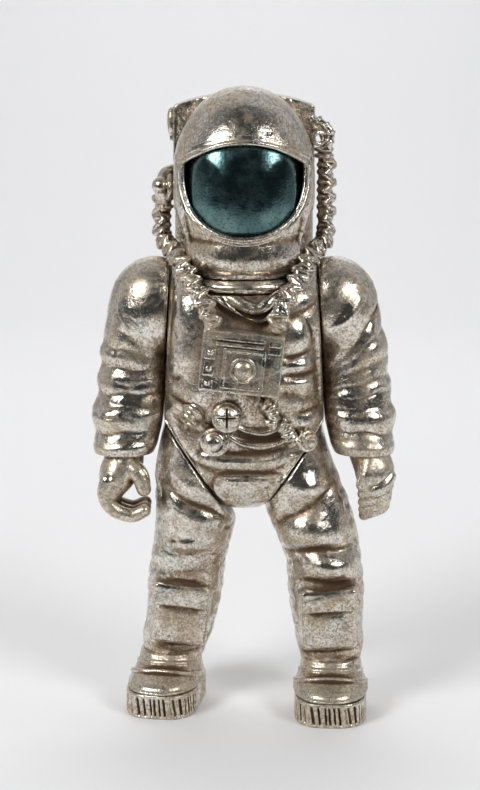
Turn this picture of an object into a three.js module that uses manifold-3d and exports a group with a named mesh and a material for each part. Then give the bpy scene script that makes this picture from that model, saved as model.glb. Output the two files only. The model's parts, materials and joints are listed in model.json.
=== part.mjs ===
// An articulated collectible figure of a moon-walk astronaut with a life-support pack.
// Millimetres, +Z up, the figure faces -Y, and its own left side is at +X.
// The trunk is two screwed shells; the helmet, arms, gloves and legs turn on pegs.
import * as THREE from "three";
import { mergeVertices } from "three/addons/utils/BufferGeometryUtils.js";
import Module from "manifold-3d";

const wasm = await Module();
wasm.setup();
const radians = THREE.MathUtils.degToRad;

// ---------------------------------------------------------------- driving dimensions
const GAP = 0.3; // between pieces that are fixed to each other
const RUN_GAP = 0.4; // radial, between a peg and the bore it turns in
const SWING_GAP = 0.5; // between the flat faces of a joint
const WALL = 3; // of the trunk, helmet and pack shells

const HIP_HEIGHT = 123; // floor to the hip pegs
const HIP_HALF = 24; // centre line to each hip peg, where it crosses its cut plane
const HIP_CUT = 55.6; // degrees the V-shaped leg cut rises from horizontal
const TRUNK_RISE = 74; // hip pegs to shoulder pegs
const SHOULDER_HALF = 35.5; // centre line to the flat face under each arm
const SHOULDER_TILT = 3; // degrees that face leans, so that the arms hang outwards
const TRUNK_FRONT = 32; // chest depth in front of the pegs
const TRUNK_BACK = 24; // back depth behind the pegs

const ARM_REACH = 69; // shoulder peg down to the wrist
const SLEEVE_HALF = 16.5; // half-width of the sleeve at the elbow
const SHOULDER_CAP = 23; // radius of the rounded shoulder about its peg
const FOREARM_LEAN = 10; // degrees the forearm leans forwards
const GLOVE_LENGTH = 33;

const THIGH_HALF = 20.9; // half-widths of the leg
const SHIN_HALF = 19;
const ANKLE_HALF = 15;
const SOLE_LENGTH = 54;
const SOLE_WIDTH = 36;
const SOLE_THICK = 12;
const TOE_REACH = 37; // centre of the ankle forward to the toe
const BOOT_HEIGHT = 25; // floor to the top of the boot upper

const NECK_RISE = 9; // shoulder pegs to the seat of the neck ring
const NECK_FORWARD = 4; // the neck stands this far in front of the pegs
const NECK_RING_RADIUS = 27;
const NECK_RING_THICK = 6;
const HELMET_RADIUS = 33;
const HELMET_HEIGHT = 86;
const VISOR_SHARE = 0.8667; // half-width of the helmet's window, of the helmet's radius
const VISOR_THICK = 2.4;

const PACK_WIDTH = 67;
const PACK_DEPTH = 27;
const PACK_OVER_SHOULDER = 65; // the pack's top above the shoulder pegs
const PACK_TOP_HEIGHT = 33; // the emergency oxygen unit on top of the pack

const CHEST_BOX = { width: 37, height: 28, depth: 11, roll: 6 };
const HOSE_RADIUS = 4.3;
const WAIST_HOSE_RADIUS = 3.3;

const SHOULDER_PEG = { radius: 5, inArm: 13, flange: 8.5 };
const HIP_PEG = { radius: 6, inLeg: 15, flange: 8 };
const WRIST_PEG = { radius: 3.6, inArm: 10, inGlove: 7 };
const NECK_PEG = { radius: 7, flange: 11 };
const PEG_FLANGE_THICK = 3;
const SCREW = { shank: 1.4, head: 2.9, headThick: 2.2 };
const BOSS_RADIUS = 4;

// ---------------------------------------------------------------- places worked out from them
const SHOULDER_HEIGHT = HIP_HEIGHT + TRUNK_RISE;
const NECK_SEAT = SHOULDER_HEIGHT + NECK_RISE;
const NECK_RING_TOP = NECK_SEAT + GAP + NECK_RING_THICK;
const HELMET_BASE = NECK_RING_TOP + SWING_GAP;
const WRIST_HEIGHT = SHOULDER_HEIGHT - ARM_REACH;
const PACK_FRONT = TRUNK_BACK + GAP;
const PACK_BASE = HIP_HEIGHT + 18;
const PACK_HEIGHT = SHOULDER_HEIGHT + PACK_OVER_SHOULDER - PACK_BASE;
const VISOR_HALF = VISOR_SHARE * HELMET_RADIUS;
const SIDES = { left: 1, right: -1 };

// Each leg follows its own line: the left one is set wider and further forward.
// Centres are measured from the figure's middle, y is the ankle's, toeOut is in degrees.
const LEG_LINE = {
  left: { thigh: 31.5, knee: 39, shin: 40.8, ankle: 43, y: -3, toeOut: -3 },
  right: { thigh: 23.5, knee: 27.2, shin: 30, ankle: 35, y: 8.5, toeOut: 7 },
};
// How far each glove's thumb and fingertips reach in towards the leg from the wrist.
const GLOVE_REACH = { left: 5.4, right: 10.4 };
const GLOVE_SHIFT = { left: 4.5, right: 1 }; // outwards from the wrist

// ---------------------------------------------------------------- solids
const METAL = { color: 0xc9c0b0, roughness: 0.3, metalness: 1 };
const TEAL = { color: 0x1d4a52, roughness: 0.12, metalness: 0.4 };
const STEEL = { color: 0x8d9196, roughness: 0.35, metalness: 1 };
const NYLON = { color: 0xe6e2da, roughness: 0.6, metalness: 0 };

// One group for each piece of the figure that moves as a whole.
const figure = new THREE.Group();
const groups = {};
for (const name of ["trunk", "head", "arm_left", "arm_right", "hand_left", "hand_right", "leg_left", "leg_right"]) {
  groups[name] = new THREE.Group();
  groups[name].name = `group_${name}`;
  figure.add(groups[name]);
}

// A manifold solid from any closed three.js geometry.
function solid(geometry, matrix = new THREE.Matrix4()) {
  const loose = geometry.index ? geometry.toNonIndexed() : geometry.clone();
  const bare = new THREE.BufferGeometry();
  bare.setAttribute("position", loose.getAttribute("position"));
  bare.applyMatrix4(matrix);
  const merged = mergeVertices(bare, 1e-3);
  return new wasm.Manifold(
    new wasm.Mesh({
      numProp: 3,
      vertProperties: merged.attributes.position.array,
      triVerts: new Uint32Array(merged.index.array),
    }),
  );
}

function geometryOf(manifold) {
  const mesh = manifold.getMesh();
  const geometry = new THREE.BufferGeometry();
  geometry.setAttribute("position", new THREE.BufferAttribute(mesh.vertProperties, 3));
  geometry.setIndex(new THREE.BufferAttribute(mesh.triVerts, 1));
  return geometry;
}

function add(group, name, shape, look) {
  const mesh = new THREE.Mesh(geometryOf(shape), new THREE.MeshStandardMaterial(look));
  mesh.name = name;
  groups[group].add(mesh);
}

const move = (x, y, z) => new THREE.Matrix4().makeTranslation(x, y, z);

// Carries +Z onto a direction, then to a point.
function aim(point, direction) {
  const turn = new THREE.Quaternion().setFromUnitVectors(
    new THREE.Vector3(0, 0, 1),
    direction.clone().normalize(),
  );
  return new THREE.Matrix4().compose(point, turn, new THREE.Vector3(1, 1, 1));
}

function box(width, depth, height, matrix) {
  return solid(new THREE.BoxGeometry(width, depth, height), matrix);
}

// A turned solid about its own +Z, from [radius, height] points that start and end on the axis.
function turned(profile, segments = 24) {
  const points = profile.map(([r, z]) => new THREE.Vector2(r, z));
  const geometry = new THREE.LatheGeometry(points, segments);
  geometry.rotateX(Math.PI / 2);
  return geometry;
}

function disc(radius, from, to, segments = 20) {
  return turned([[0, from], [radius, from], [radius, to], [0, to]], segments);
}

// A closed skin over level sections: {z, x, front, back, half, power}, lowest first.
// front and back are the section's y limits, and half its half-width about x.
function loft(sections, segments = 20) {
  const points = [];
  const faces = [];
  for (const s of sections) {
    const middle = (s.front + s.back) / 2;
    const depth = (s.back - s.front) / 2;
    const bend = 2 / (s.power ?? 2.3);
    for (let i = 0; i < segments; i++) {
      const angle = (2 * Math.PI * i) / segments;
      const c = Math.cos(angle);
      const d = Math.sin(angle);
      points.push(
        s.x + s.half * Math.sign(c) * Math.abs(c) ** bend,
        middle + depth * Math.sign(d) * Math.abs(d) ** bend,
        s.z,
      );
    }
  }
  for (let k = 0; k + 1 < sections.length; k++) {
    for (let i = 0; i < segments; i++) {
      const a = k * segments + i;
      const b = k * segments + ((i + 1) % segments);
      faces.push(a, b, b + segments, a, b + segments, a + segments);
    }
  }
  const top = (sections.length - 1) * segments;
  for (let i = 1; i + 1 < segments; i++) {
    faces.push(0, i + 1, i, top, top + i, top + i + 1);
  }
  const geometry = new THREE.BufferGeometry();
  geometry.setAttribute("position", new THREE.Float32BufferAttribute(points, 3));
  geometry.setIndex(faces);
  return solid(geometry);
}

// The same sections, in or out by a margin all round, and cut short at both ends by it.
function offset(sections, margin) {
  return sections.map((s, i) => ({
    ...s,
    half: Math.max(s.half + margin, 1),
    front: Math.min(s.front - margin, (s.front + s.back) / 2 - 1),
    back: Math.max(s.back + margin, (s.front + s.back) / 2 + 1),
    z: s.z + (i === 0 ? -margin : i === sections.length - 1 ? margin : 0),
  }));
}

// A round tube along a smooth line through points.
function tube(points, radius, steps = 26, sides = 8) {
  const circle = new THREE.Shape();
  for (let i = 0; i < sides; i++) {
    const angle = (2 * Math.PI * i) / sides;
    const x = radius * Math.cos(angle);
    const y = radius * Math.sin(angle);
    if (i === 0) circle.moveTo(x, y);
    else circle.lineTo(x, y);
  }
  circle.closePath();
  const path = new THREE.CatmullRomCurve3(points.map((p) => new THREE.Vector3(...p)));
  return new THREE.ExtrudeGeometry(circle, { steps, extrudePath: path });
}

// A prism of a front-view outline, from y = near back to y = far.
function slab(shape, near, far, curveSegments = 5) {
  const geometry = new THREE.ExtrudeGeometry(shape, {
    depth: far - near,
    bevelEnabled: false,
    curveSegments,
  });
  geometry.rotateX(Math.PI / 2);
  geometry.translate(0, far, 0);
  return solid(geometry);
}

function roundedShape(left, right, low, high, corner) {
  const r = Math.min(corner, (right - left) / 2.1, (high - low) / 2.1);
  const shape = new THREE.Shape();
  shape.moveTo(left + r, low);
  shape.lineTo(right - r, low);
  shape.absarc(right - r, low + r, r, -Math.PI / 2, 0);
  shape.lineTo(right, high - r);
  shape.absarc(right - r, high - r, r, 0, Math.PI / 2);
  shape.lineTo(left + r, high);
  shape.absarc(left + r, high - r, r, Math.PI / 2, Math.PI);
  shape.lineTo(left, low + r);
  shape.absarc(left + r, low + r, r, Math.PI, 1.5 * Math.PI);
  return shape;
}

// ---------------------------------------------------------------- joint planes and axes
// Each axis points out of the trunk, square to the flat face that the limb turns against.
function shoulderAxis(side) {
  const tilt = radians(SHOULDER_TILT);
  return new THREE.Vector3(side * Math.cos(tilt), 0, Math.sin(tilt));
}

function hipAxis(side) {
  const cut = radians(HIP_CUT);
  return new THREE.Vector3(side * Math.sin(cut), 0, -Math.cos(cut));
}

const shoulderPoint = (side) => new THREE.Vector3(side * SHOULDER_HALF, 0, SHOULDER_HEIGHT);
const hipPoint = (side) => new THREE.Vector3(side * HIP_HALF, 0, HIP_HEIGHT);

// The half-space on the trunk's side of a joint plane, moved inwards by margin.
function trunkSide(point, axis, margin) {
  const reach = 400;
  const centre = point.clone().addScaledVector(axis, -margin - reach / 2);
  return box(2 * reach, 2 * reach, reach, aim(centre, axis));
}

// The half-space on the limb's side, moved outwards by margin.
function limbSide(point, axis, margin) {
  return trunkSide(point, axis.clone().negate(), margin);
}

function trunkLimits(margin) {
  let kept = null;
  for (const side of Object.values(SIDES)) {
    const shoulder = trunkSide(shoulderPoint(side), shoulderAxis(side), margin);
    const hip = trunkSide(hipPoint(side), hipAxis(side), margin);
    kept = kept ? kept.intersect(shoulder) : shoulder;
    kept = kept.intersect(hip);
  }
  return kept;
}

// ---------------------------------------------------------------- trunk
const trunkSections = [
  { z: HIP_HEIGHT - 20.5, half: 13, front: -17, back: 17 },
  { z: HIP_HEIGHT - 14, half: 24, front: -22, back: 21 },
  { z: HIP_HEIGHT + 2, half: 37, front: -25, back: 23.5 },
  { z: HIP_HEIGHT + 18, half: 38.5, front: -26, back: 23.5 },
  { z: HIP_HEIGHT + 0.42 * TRUNK_RISE, half: 37.5, front: -0.92 * TRUNK_FRONT, back: TRUNK_BACK },
  { z: HIP_HEIGHT + 0.76 * TRUNK_RISE, half: 39, front: -TRUNK_FRONT, back: TRUNK_BACK },
  { z: SHOULDER_HEIGHT, half: 38, front: -0.97 * TRUNK_FRONT, back: TRUNK_BACK },
  { z: NECK_SEAT, half: 38, front: -0.86 * TRUNK_FRONT, back: TRUNK_BACK - 1 },
  { z: SHOULDER_HEIGHT + 0.75 * SHOULDER_CAP, half: 38, front: -18, back: 18, power: 2.6 },
  { z: SHOULDER_HEIGHT + SHOULDER_CAP, half: 38, front: -9, back: 9, power: 2.6 },
].map((s) => ({ x: 0, power: 2.5, ...s }));

const hollowSections = offset(
  trunkSections.filter((s) => s.z < NECK_SEAT + 1),
  -WALL,
);

// The helmet's outside, and the space that it and the neck ring need above the trunk.
const helmetProfile = [
  [0.72 * HELMET_RADIUS, HELMET_BASE],
  [0.83 * HELMET_RADIUS, HELMET_BASE + 4],
  [0.87 * HELMET_RADIUS, HELMET_BASE + 12],
  [0.95 * HELMET_RADIUS, HELMET_BASE + 22],
  [HELMET_RADIUS, HELMET_BASE + 0.42 * HELMET_HEIGHT],
  [0.985 * HELMET_RADIUS, HELMET_BASE + 0.58 * HELMET_HEIGHT],
  [0.9 * HELMET_RADIUS, HELMET_BASE + 0.74 * HELMET_HEIGHT],
  [0.72 * HELMET_RADIUS, HELMET_BASE + 0.88 * HELMET_HEIGHT],
  [0.45 * HELMET_RADIUS, HELMET_BASE + 0.962 * HELMET_HEIGHT],
  [0.22 * HELMET_RADIUS, HELMET_BASE + 0.991 * HELMET_HEIGHT],
];

function helmetBody(margin, segments = 26) {
  const outer = helmetProfile.map(([r, z], i) => [r + margin, z - (i === 0 ? margin : 0)]);
  const low = outer[0][1];
  const high = HELMET_BASE + HELMET_HEIGHT + margin;
  const profile = turned([[0, low], ...outer, [0, high]], segments);
  return solid(profile, move(0, -NECK_FORWARD, 0));
}

const atNeck = move(0, -NECK_FORWARD, 0);
const ringSeat = solid(disc(NECK_RING_RADIUS + GAP, NECK_SEAT, NECK_SEAT + 60, 32), atNeck);
const pegCut = (point, axis, radius, inside, outside) =>
  solid(disc(radius, -inside, outside, 16), aim(point, axis));

const BOSS_PLACES = [
  [1, SHOULDER_HEIGHT - 17],
  [-1, SHOULDER_HEIGHT - 17],
  [1, HIP_HEIGHT + 29],
  [-1, HIP_HEIGHT + 29],
].map(([side, z]) => [side * (SHOULDER_HALF - 11), z]);
const PACK_SCREW_HEIGHTS = [SHOULDER_HEIGHT - 14, HIP_HEIGHT + 32];

const along = new THREE.Vector3(0, 1, 0);
const rod = (x, z, radius, from, to, segments = 10) =>
  solid(disc(radius, from, to, segments), aim(new THREE.Vector3(x, 0, z), along));

function trunk() {
  const outer = loft(trunkSections, 22).intersect(trunkLimits(SWING_GAP / 2));
  const inner = loft(hollowSections, 18).intersect(trunkLimits(SWING_GAP / 2 + WALL));
  let shell = outer.subtract(inner);
  shell = shell.subtract(helmetBody(1)).subtract(ringSeat);
  shell = shell.subtract(
    solid(disc(NECK_PEG.radius + GAP, NECK_SEAT - 12, NECK_SEAT + 12, 20), atNeck),
  );
  for (const side of Object.values(SIDES)) {
    const shoulderBore = SHOULDER_PEG.radius + RUN_GAP;
    const hipBore = HIP_PEG.radius + RUN_GAP;
    shell = shell.subtract(pegCut(shoulderPoint(side), shoulderAxis(side), shoulderBore, 8, 4));
    shell = shell.subtract(pegCut(hipPoint(side), hipAxis(side), hipBore, 8, 4));
    const wall = -WALL - SWING_GAP / 2;
    const flange = SHOULDER_PEG.flange + RUN_GAP;
    const room = WALL + SWING_GAP + PEG_FLANGE_THICK + RUN_GAP;
    shell = shell.subtract(pegCut(shoulderPoint(side), shoulderAxis(side), flange, room, wall));
  }
  return { shell, outer, inner };
}

function makeTrunk() {
  const { shell, outer, inner } = trunk();
  const front = box(400, 200, 600, move(0, -100 - GAP / 2, 200));
  const back = box(400, 200, 600, move(0, 100 + GAP / 2, 200));
  let frontShell = shell.intersect(front);
  let backShell = shell.intersect(back);
  const headSeat = TRUNK_BACK - WALL - 1;
  for (const [x, z] of BOSS_PLACES) {
    const frontBoss = rod(x, z, BOSS_RADIUS, -TRUNK_FRONT, -GAP / 2).intersect(outer);
    const backBoss = rod(x, z, BOSS_RADIUS, GAP / 2, TRUNK_BACK).intersect(outer);
    frontShell = frontShell.add(frontBoss);
    frontShell = frontShell.subtract(rod(x, z, SCREW.shank + GAP, -11, 1));
    backShell = backShell.add(backBoss);
    backShell = backShell.subtract(rod(x, z, SCREW.shank + GAP, -1, TRUNK_BACK + 2));
    backShell = backShell.subtract(rod(x, z, SCREW.head + GAP, headSeat, TRUNK_BACK + 2));
  }
  for (const z of PACK_SCREW_HEIGHTS) {
    backShell = backShell.add(
      rod(0, z, BOSS_RADIUS, TRUNK_BACK - 11, TRUNK_BACK).intersect(outer),
    );
    backShell = backShell.subtract(rod(0, z, SCREW.shank + GAP, TRUNK_BACK - 9, TRUNK_BACK + 2));
  }
  add("trunk", "torso_front_shell", frontShell, METAL);
  add("trunk", "torso_back_shell", backShell, METAL);
  BOSS_PLACES.forEach(([x, z], i) => {
    const head = headSeat + GAP;
    const profile = [
      [0, -10],
      [SCREW.shank, -10],
      [SCREW.shank, head],
      [SCREW.head, head],
      [SCREW.head, head + SCREW.headThick],
      [0, head + SCREW.headThick],
    ];
    const name = `torso_screw_${["upper", "lower"][i >> 1]}_${["left", "right"][i % 2]}`;
    add("trunk", name, solid(turned(profile, 8), aim(new THREE.Vector3(x, 0, z), along)), STEEL);
  });
  return inner;
}

// ---------------------------------------------------------------- neck and helmet
const plateLow = HELMET_BASE + 4;
const plateHigh = plateLow + WALL;

function makeNeck() {
  const ring = turned(
    [
      [NECK_PEG.radius + GAP, NECK_SEAT + GAP],
      [NECK_RING_RADIUS, NECK_SEAT + GAP],
      [NECK_RING_RADIUS, NECK_RING_TOP - 2],
      [NECK_RING_RADIUS - 2, NECK_RING_TOP],
      [NECK_PEG.radius + GAP, NECK_RING_TOP],
      [NECK_PEG.radius + GAP, NECK_SEAT + GAP],
    ],
    32,
  );
  add("trunk", "neck_ring", solid(ring, atNeck), METAL);

  const wallBelow = NECK_SEAT - WALL;
  const post = turned(
    [
      [0, wallBelow - GAP - PEG_FLANGE_THICK],
      [NECK_PEG.flange, wallBelow - GAP - PEG_FLANGE_THICK],
      [NECK_PEG.flange, wallBelow - GAP],
      [NECK_PEG.radius, wallBelow - GAP],
      [NECK_PEG.radius, plateHigh + GAP],
      [SCREW.shank + GAP, plateHigh + GAP],
      [SCREW.shank + GAP, plateHigh - 10],
      [0, plateHigh - 10],
    ],
    20,
  );
  add("trunk", "neck_post", solid(post, atNeck), NYLON);
  const washerLow = plateHigh + 2 * GAP;
  const washer = turned(
    [
      [SCREW.shank + GAP, washerLow],
      [NECK_PEG.flange, washerLow],
      [NECK_PEG.flange, washerLow + 1.6],
      [SCREW.shank + GAP, washerLow + 1.6],
      [SCREW.shank + GAP, washerLow],
    ],
    16,
  );
  add("trunk", "neck_washer", solid(washer, atNeck), STEEL);
  const headLow = washerLow + 1.6 + GAP;
  const screw = turned(
    [
      [0, plateHigh - 9],
      [SCREW.shank, plateHigh - 9],
      [SCREW.shank, headLow],
      [SCREW.head, headLow],
      [SCREW.head, headLow + SCREW.headThick],
      [0, headLow + SCREW.headThick],
    ],
    10,
  );
  add("trunk", "neck_screw", solid(screw, atNeck), STEEL);
}

// The helmet's window: an arched top, upright sides and a deep rounded bottom.
const windowLow = HELMET_BASE + 0.205 * HELMET_HEIGHT;
const windowHigh = HELMET_BASE + 0.725 * HELMET_HEIGHT;
function windowShape(margin) {
  const half = VISOR_HALF + margin;
  const low = windowLow - margin;
  const high = windowHigh + margin;
  const tall = high - low;
  const shape = new THREE.Shape();
  shape.moveTo(0, low);
  shape.bezierCurveTo(0.5 * half, low, 0.78 * half, low + 0.16 * tall, 0.92 * half, low + 0.48 * tall);
  shape.quadraticCurveTo(half, low + 0.66 * tall, half, low + 0.79 * tall);
  shape.quadraticCurveTo(0.55 * half, high, 0, high);
  shape.quadraticCurveTo(-0.55 * half, high, -half, low + 0.79 * tall);
  shape.quadraticCurveTo(-half, low + 0.66 * tall, -0.92 * half, low + 0.48 * tall);
  shape.bezierCurveTo(-0.78 * half, low + 0.16 * tall, -0.5 * half, low, 0, low);
  return shape;
}

function makeHelmet() {
  const front = -NECK_FORWARD - HELMET_RADIUS - 8;
  const lining = helmetBody(-WALL).intersect(
    box(200, 200, 200, move(0, 0, plateHigh + 100)),
  );
  const window = slab(windowShape(0), front, 0, 4);
  const bore = solid(disc(NECK_PEG.radius + RUN_GAP, HELMET_BASE - 5, plateHigh + 1, 20), atNeck);
  const shell = helmetBody(0).subtract(lining).subtract(window).subtract(bore);
  add("head", "helmet_shell", shell, METAL);

  const lens = helmetBody(-WALL - GAP)
    .subtract(helmetBody(-WALL - GAP - VISOR_THICK))
    .intersect(slab(windowShape(1.8), front, -4, 4))
    .intersect(box(200, 200, 200, move(0, 0, plateHigh + GAP + 100)));
  add("head", "visor", lens, TEAL);

  const rim = helmetBody(1.6)
    .subtract(helmetBody(GAP))
    .intersect(slab(windowShape(2.6), front, -4, 4))
    .subtract(slab(windowShape(0), front, 0, 4));
  add("head", "visor_bezel", rim, METAL);
}

// ---------------------------------------------------------------- arms and gloves
// The forearm's line from the elbow to the wrist, leaning forwards.
const forearmAxis = new THREE.Vector3(0, -Math.sin(radians(FOREARM_LEAN)), -Math.cos(radians(FOREARM_LEAN)));
const ELBOW_DROP = 0.5 * ARM_REACH;
const wristForward = (ARM_REACH - ELBOW_DROP) * Math.tan(radians(FOREARM_LEAN));
const SLEEVE_OUT = SHOULDER_HALF + 21.8; // centre line of the cuff
const wristPoint = (side) => new THREE.Vector3(side * SLEEVE_OUT, -wristForward, WRIST_HEIGHT);

function sleeveSections(side) {
  const rows = [
    [ARM_REACH, SLEEVE_OUT, 0.92, -wristForward],
    [ARM_REACH - 6, SLEEVE_OUT - 0.6, 0.97, -wristForward + 1],
    [0.7 * ARM_REACH, SLEEVE_OUT - 3, 1.02, -0.4 * wristForward],
    [ELBOW_DROP, SLEEVE_OUT - 4, 1, 0],
    [0.3 * ARM_REACH, SLEEVE_OUT - 5.5, 1, 0],
    [0, SLEEVE_OUT - 8.5, 0.9, 0],
    [-0.5 * SHOULDER_CAP, SLEEVE_OUT - 9.5, 0.6, 0],
  ];
  return rows.map(([drop, x, wide, y]) => ({
    z: SHOULDER_HEIGHT - drop,
    x: side * x,
    half: wide * SLEEVE_HALF,
    front: y - wide * SLEEVE_HALF - 1,
    back: y + wide * SLEEVE_HALF + 1,
  }));
}

function makeArm(name, side) {
  const point = shoulderPoint(side);
  const axis = shoulderAxis(side);
  const cap = new THREE.SphereGeometry(1, 16, 12);
  cap.scale(SHOULDER_CAP * 0.93, SHOULDER_CAP * 0.9, SHOULDER_CAP);
  const capSolid = solid(cap, move(side * (SHOULDER_HALF + 7), 0, SHOULDER_HEIGHT));
  let sleeve = loft(sleeveSections(side), 16).add(capSolid);
  sleeve = sleeve.intersect(limbSide(point, axis, SWING_GAP / 2));
  sleeve = sleeve.subtract(pegCut(point, axis, SHOULDER_PEG.radius + GAP, 5, SHOULDER_PEG.inArm + GAP));
  const wrist = wristPoint(side);
  sleeve = sleeve.subtract(
    pegCut(wrist, forearmAxis, WRIST_PEG.radius + RUN_GAP, WRIST_PEG.inArm + SWING_GAP, 8),
  );
  sleeve = sleeve.subtract(pegCut(wrist, forearmAxis, CUFF_MOUTH, CUFF_DEPTH, 12));
  add(`arm_${name}`, `arm_sleeve_${name}`, sleeve, METAL);

  const flangeLow = -WALL - SWING_GAP - PEG_FLANGE_THICK;
  const peg = turned(
    [
      [0, flangeLow],
      [SHOULDER_PEG.flange, flangeLow],
      [SHOULDER_PEG.flange, flangeLow + PEG_FLANGE_THICK - 0.3],
      [SHOULDER_PEG.radius, flangeLow + PEG_FLANGE_THICK - 0.3],
      [SHOULDER_PEG.radius, SHOULDER_PEG.inArm],
      [0, SHOULDER_PEG.inArm],
    ],
    16,
  );
  add(`arm_${name}`, `shoulder_peg_${name}`, solid(peg, aim(point, axis)), NYLON);
}

const CUFF_MOUTH = 11.5; // radius of the recess that the glove turns in
const CUFF_DEPTH = 4;

// A relaxed glove: a palm, four fingers curled in towards the leg, and a thumb in front.
function makeGlove(name, side) {
  const wrist = wristPoint(side);
  const inward = -side;
  const reach = GLOVE_REACH[name];
  const outwards = GLOVE_SHIFT[name];
  const at = (across, y, drop) => [
    wrist.x + inward * (across - outwards),
    wrist.y + y,
    wrist.z - drop * GLOVE_LENGTH,
  ];
  const level = (drop, across, half, deep) => {
    const [x, y, z] = at(across, -3 - 4 * drop, drop);
    return { z, x, half, front: y - deep, back: y + deep };
  };
  const palm = loft(
    [
      level(0.62, -3, 6, 8.2),
      level(0.45, -3.4, 7.2, 9.4),
      level(0.26, -2.6, 7.8, 9.2),
      level(0.15, -1.8, 6.6, 7.4),
    ],
    12,
  );
  const plug = solid(
    disc(CUFF_MOUTH - 2.5, -CUFF_DEPTH + SWING_GAP, 8, 14),
    aim(wrist, forearmAxis),
  );
  let glove = palm.add(plug);
  for (const [i, y] of [-11.4, -7, -2.6, 1.8].entries()) {
    const long = 0.98 - 0.05 * Math.abs(i - 1.3);
    const line = [
      at(-5.5, y, 0.4 * long),
      at(-6.5, y, 0.66 * long),
      at(-2, y, 0.9 * long),
      at(0.45 * reach + 1, y, 0.93 * long),
      at(reach, y, 0.8 * long),
    ];
    glove = glove.add(solid(tube(line, 2.8, 6, 6)));
  }
  const thumb = [
    at(1, -7, 0.2),
    at(0.5 * reach + 1.5, -10.5, 0.32),
    at(reach, -11, 0.48),
  ];
  glove = glove.add(solid(tube(thumb, 3, 4, 7)));
  glove = glove.subtract(
    pegCut(wrist, forearmAxis, WRIST_PEG.radius + GAP, CUFF_DEPTH + 2, WRIST_PEG.inGlove + GAP),
  );
  add(`hand_${name}`, `glove_${name}`, glove, METAL);
  const peg = disc(WRIST_PEG.radius, -WRIST_PEG.inArm, WRIST_PEG.inGlove, 12);
  add(`hand_${name}`, `wrist_peg_${name}`, solid(peg, aim(wrist, forearmAxis)), NYLON);
}

// ---------------------------------------------------------------- legs and boots
// Level sections of a leg from the ankle up to the hip, where they close over its peg.
function legSections(name, side) {
  const line = LEG_LINE[name];
  const ankle = BOOT_HEIGHT + GAP;
  const span = HIP_HEIGHT - ankle;
  const mid = (a, b, t) => a + (b - a) * t;
  const hip = HIP_HALF - 1;
  const rows = [
    [0, line.ankle, ANKLE_HALF, ANKLE_HALF],
    [0.13, mid(line.ankle, line.shin, 0.45), mid(ANKLE_HALF, SHIN_HALF, 0.7), SHIN_HALF - 1],
    [0.28, line.shin, SHIN_HALF, SHIN_HALF],
    [0.48, line.knee, mid(SHIN_HALF, THIGH_HALF, 0.3), SHIN_HALF + 1],
    [0.62, mid(line.knee, line.thigh, 0.55), mid(SHIN_HALF, THIGH_HALF, 0.7), THIGH_HALF - 1],
    [0.76, line.thigh, THIGH_HALF, THIGH_HALF],
    [0.92, mid(line.thigh, hip, 0.72), THIGH_HALF - 1.4, THIGH_HALF + 1.5],
    [1.03, hip, THIGH_HALF - 4.6, THIGH_HALF + 2],
    [1.12, hip, THIGH_HALF - 6, THIGH_HALF + 2],
    [1.22, hip, THIGH_HALF - 8, THIGH_HALF + 1],
  ];
  return rows.map(([t, x, half, depth]) => {
    const y = line.y * Math.max(1 - t, 0);
    return { z: ankle + t * span, x: side * x, half, front: y - depth, back: y + depth };
  });
}

function makeLeg(name, side) {
  const point = hipPoint(side);
  const axis = hipAxis(side);
  const sections = legSections(name, side);
  let leg = loft(sections, 20).intersect(limbSide(point, axis, SWING_GAP / 2));
  leg = leg.subtract(pegCut(point, axis, HIP_PEG.radius + GAP, 5, HIP_PEG.inLeg + GAP));

  const line = LEG_LINE[name];
  const pocketMiddle = BOOT_HEIGHT + 0.23 * (HIP_HEIGHT - BOOT_HEIGHT);
  const pocketX = side * line.shin;
  const pocketShape = roundedShape(pocketX - 13, pocketX + 13, pocketMiddle - 16, pocketMiddle + 15, 4);
  const shinFront = 0.75 * line.y - SHIN_HALF;
  const pocket = slab(pocketShape, shinFront - 2.5, shinFront + 8, 3).subtract(
    loft(offset(sections, GAP), 20),
  );
  add(`leg_${name}`, `trouser_leg_${name}`, leg, METAL);
  add(`leg_${name}`, `shin_pocket_${name}`, pocket, METAL);

  const flangeLow = -WALL - SWING_GAP - PEG_FLANGE_THICK;
  const peg = turned(
    [
      [0, flangeLow],
      [HIP_PEG.flange, flangeLow],
      [HIP_PEG.flange, flangeLow + PEG_FLANGE_THICK - 0.3],
      [HIP_PEG.radius, flangeLow + PEG_FLANGE_THICK - 0.3],
      [HIP_PEG.radius, HIP_PEG.inLeg],
      [0, HIP_PEG.inLeg],
    ],
    16,
  );
  add(`leg_${name}`, `hip_peg_${name}`, solid(peg, aim(point, axis)), NYLON);
  makeBoot(name, side, line);
}

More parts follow.
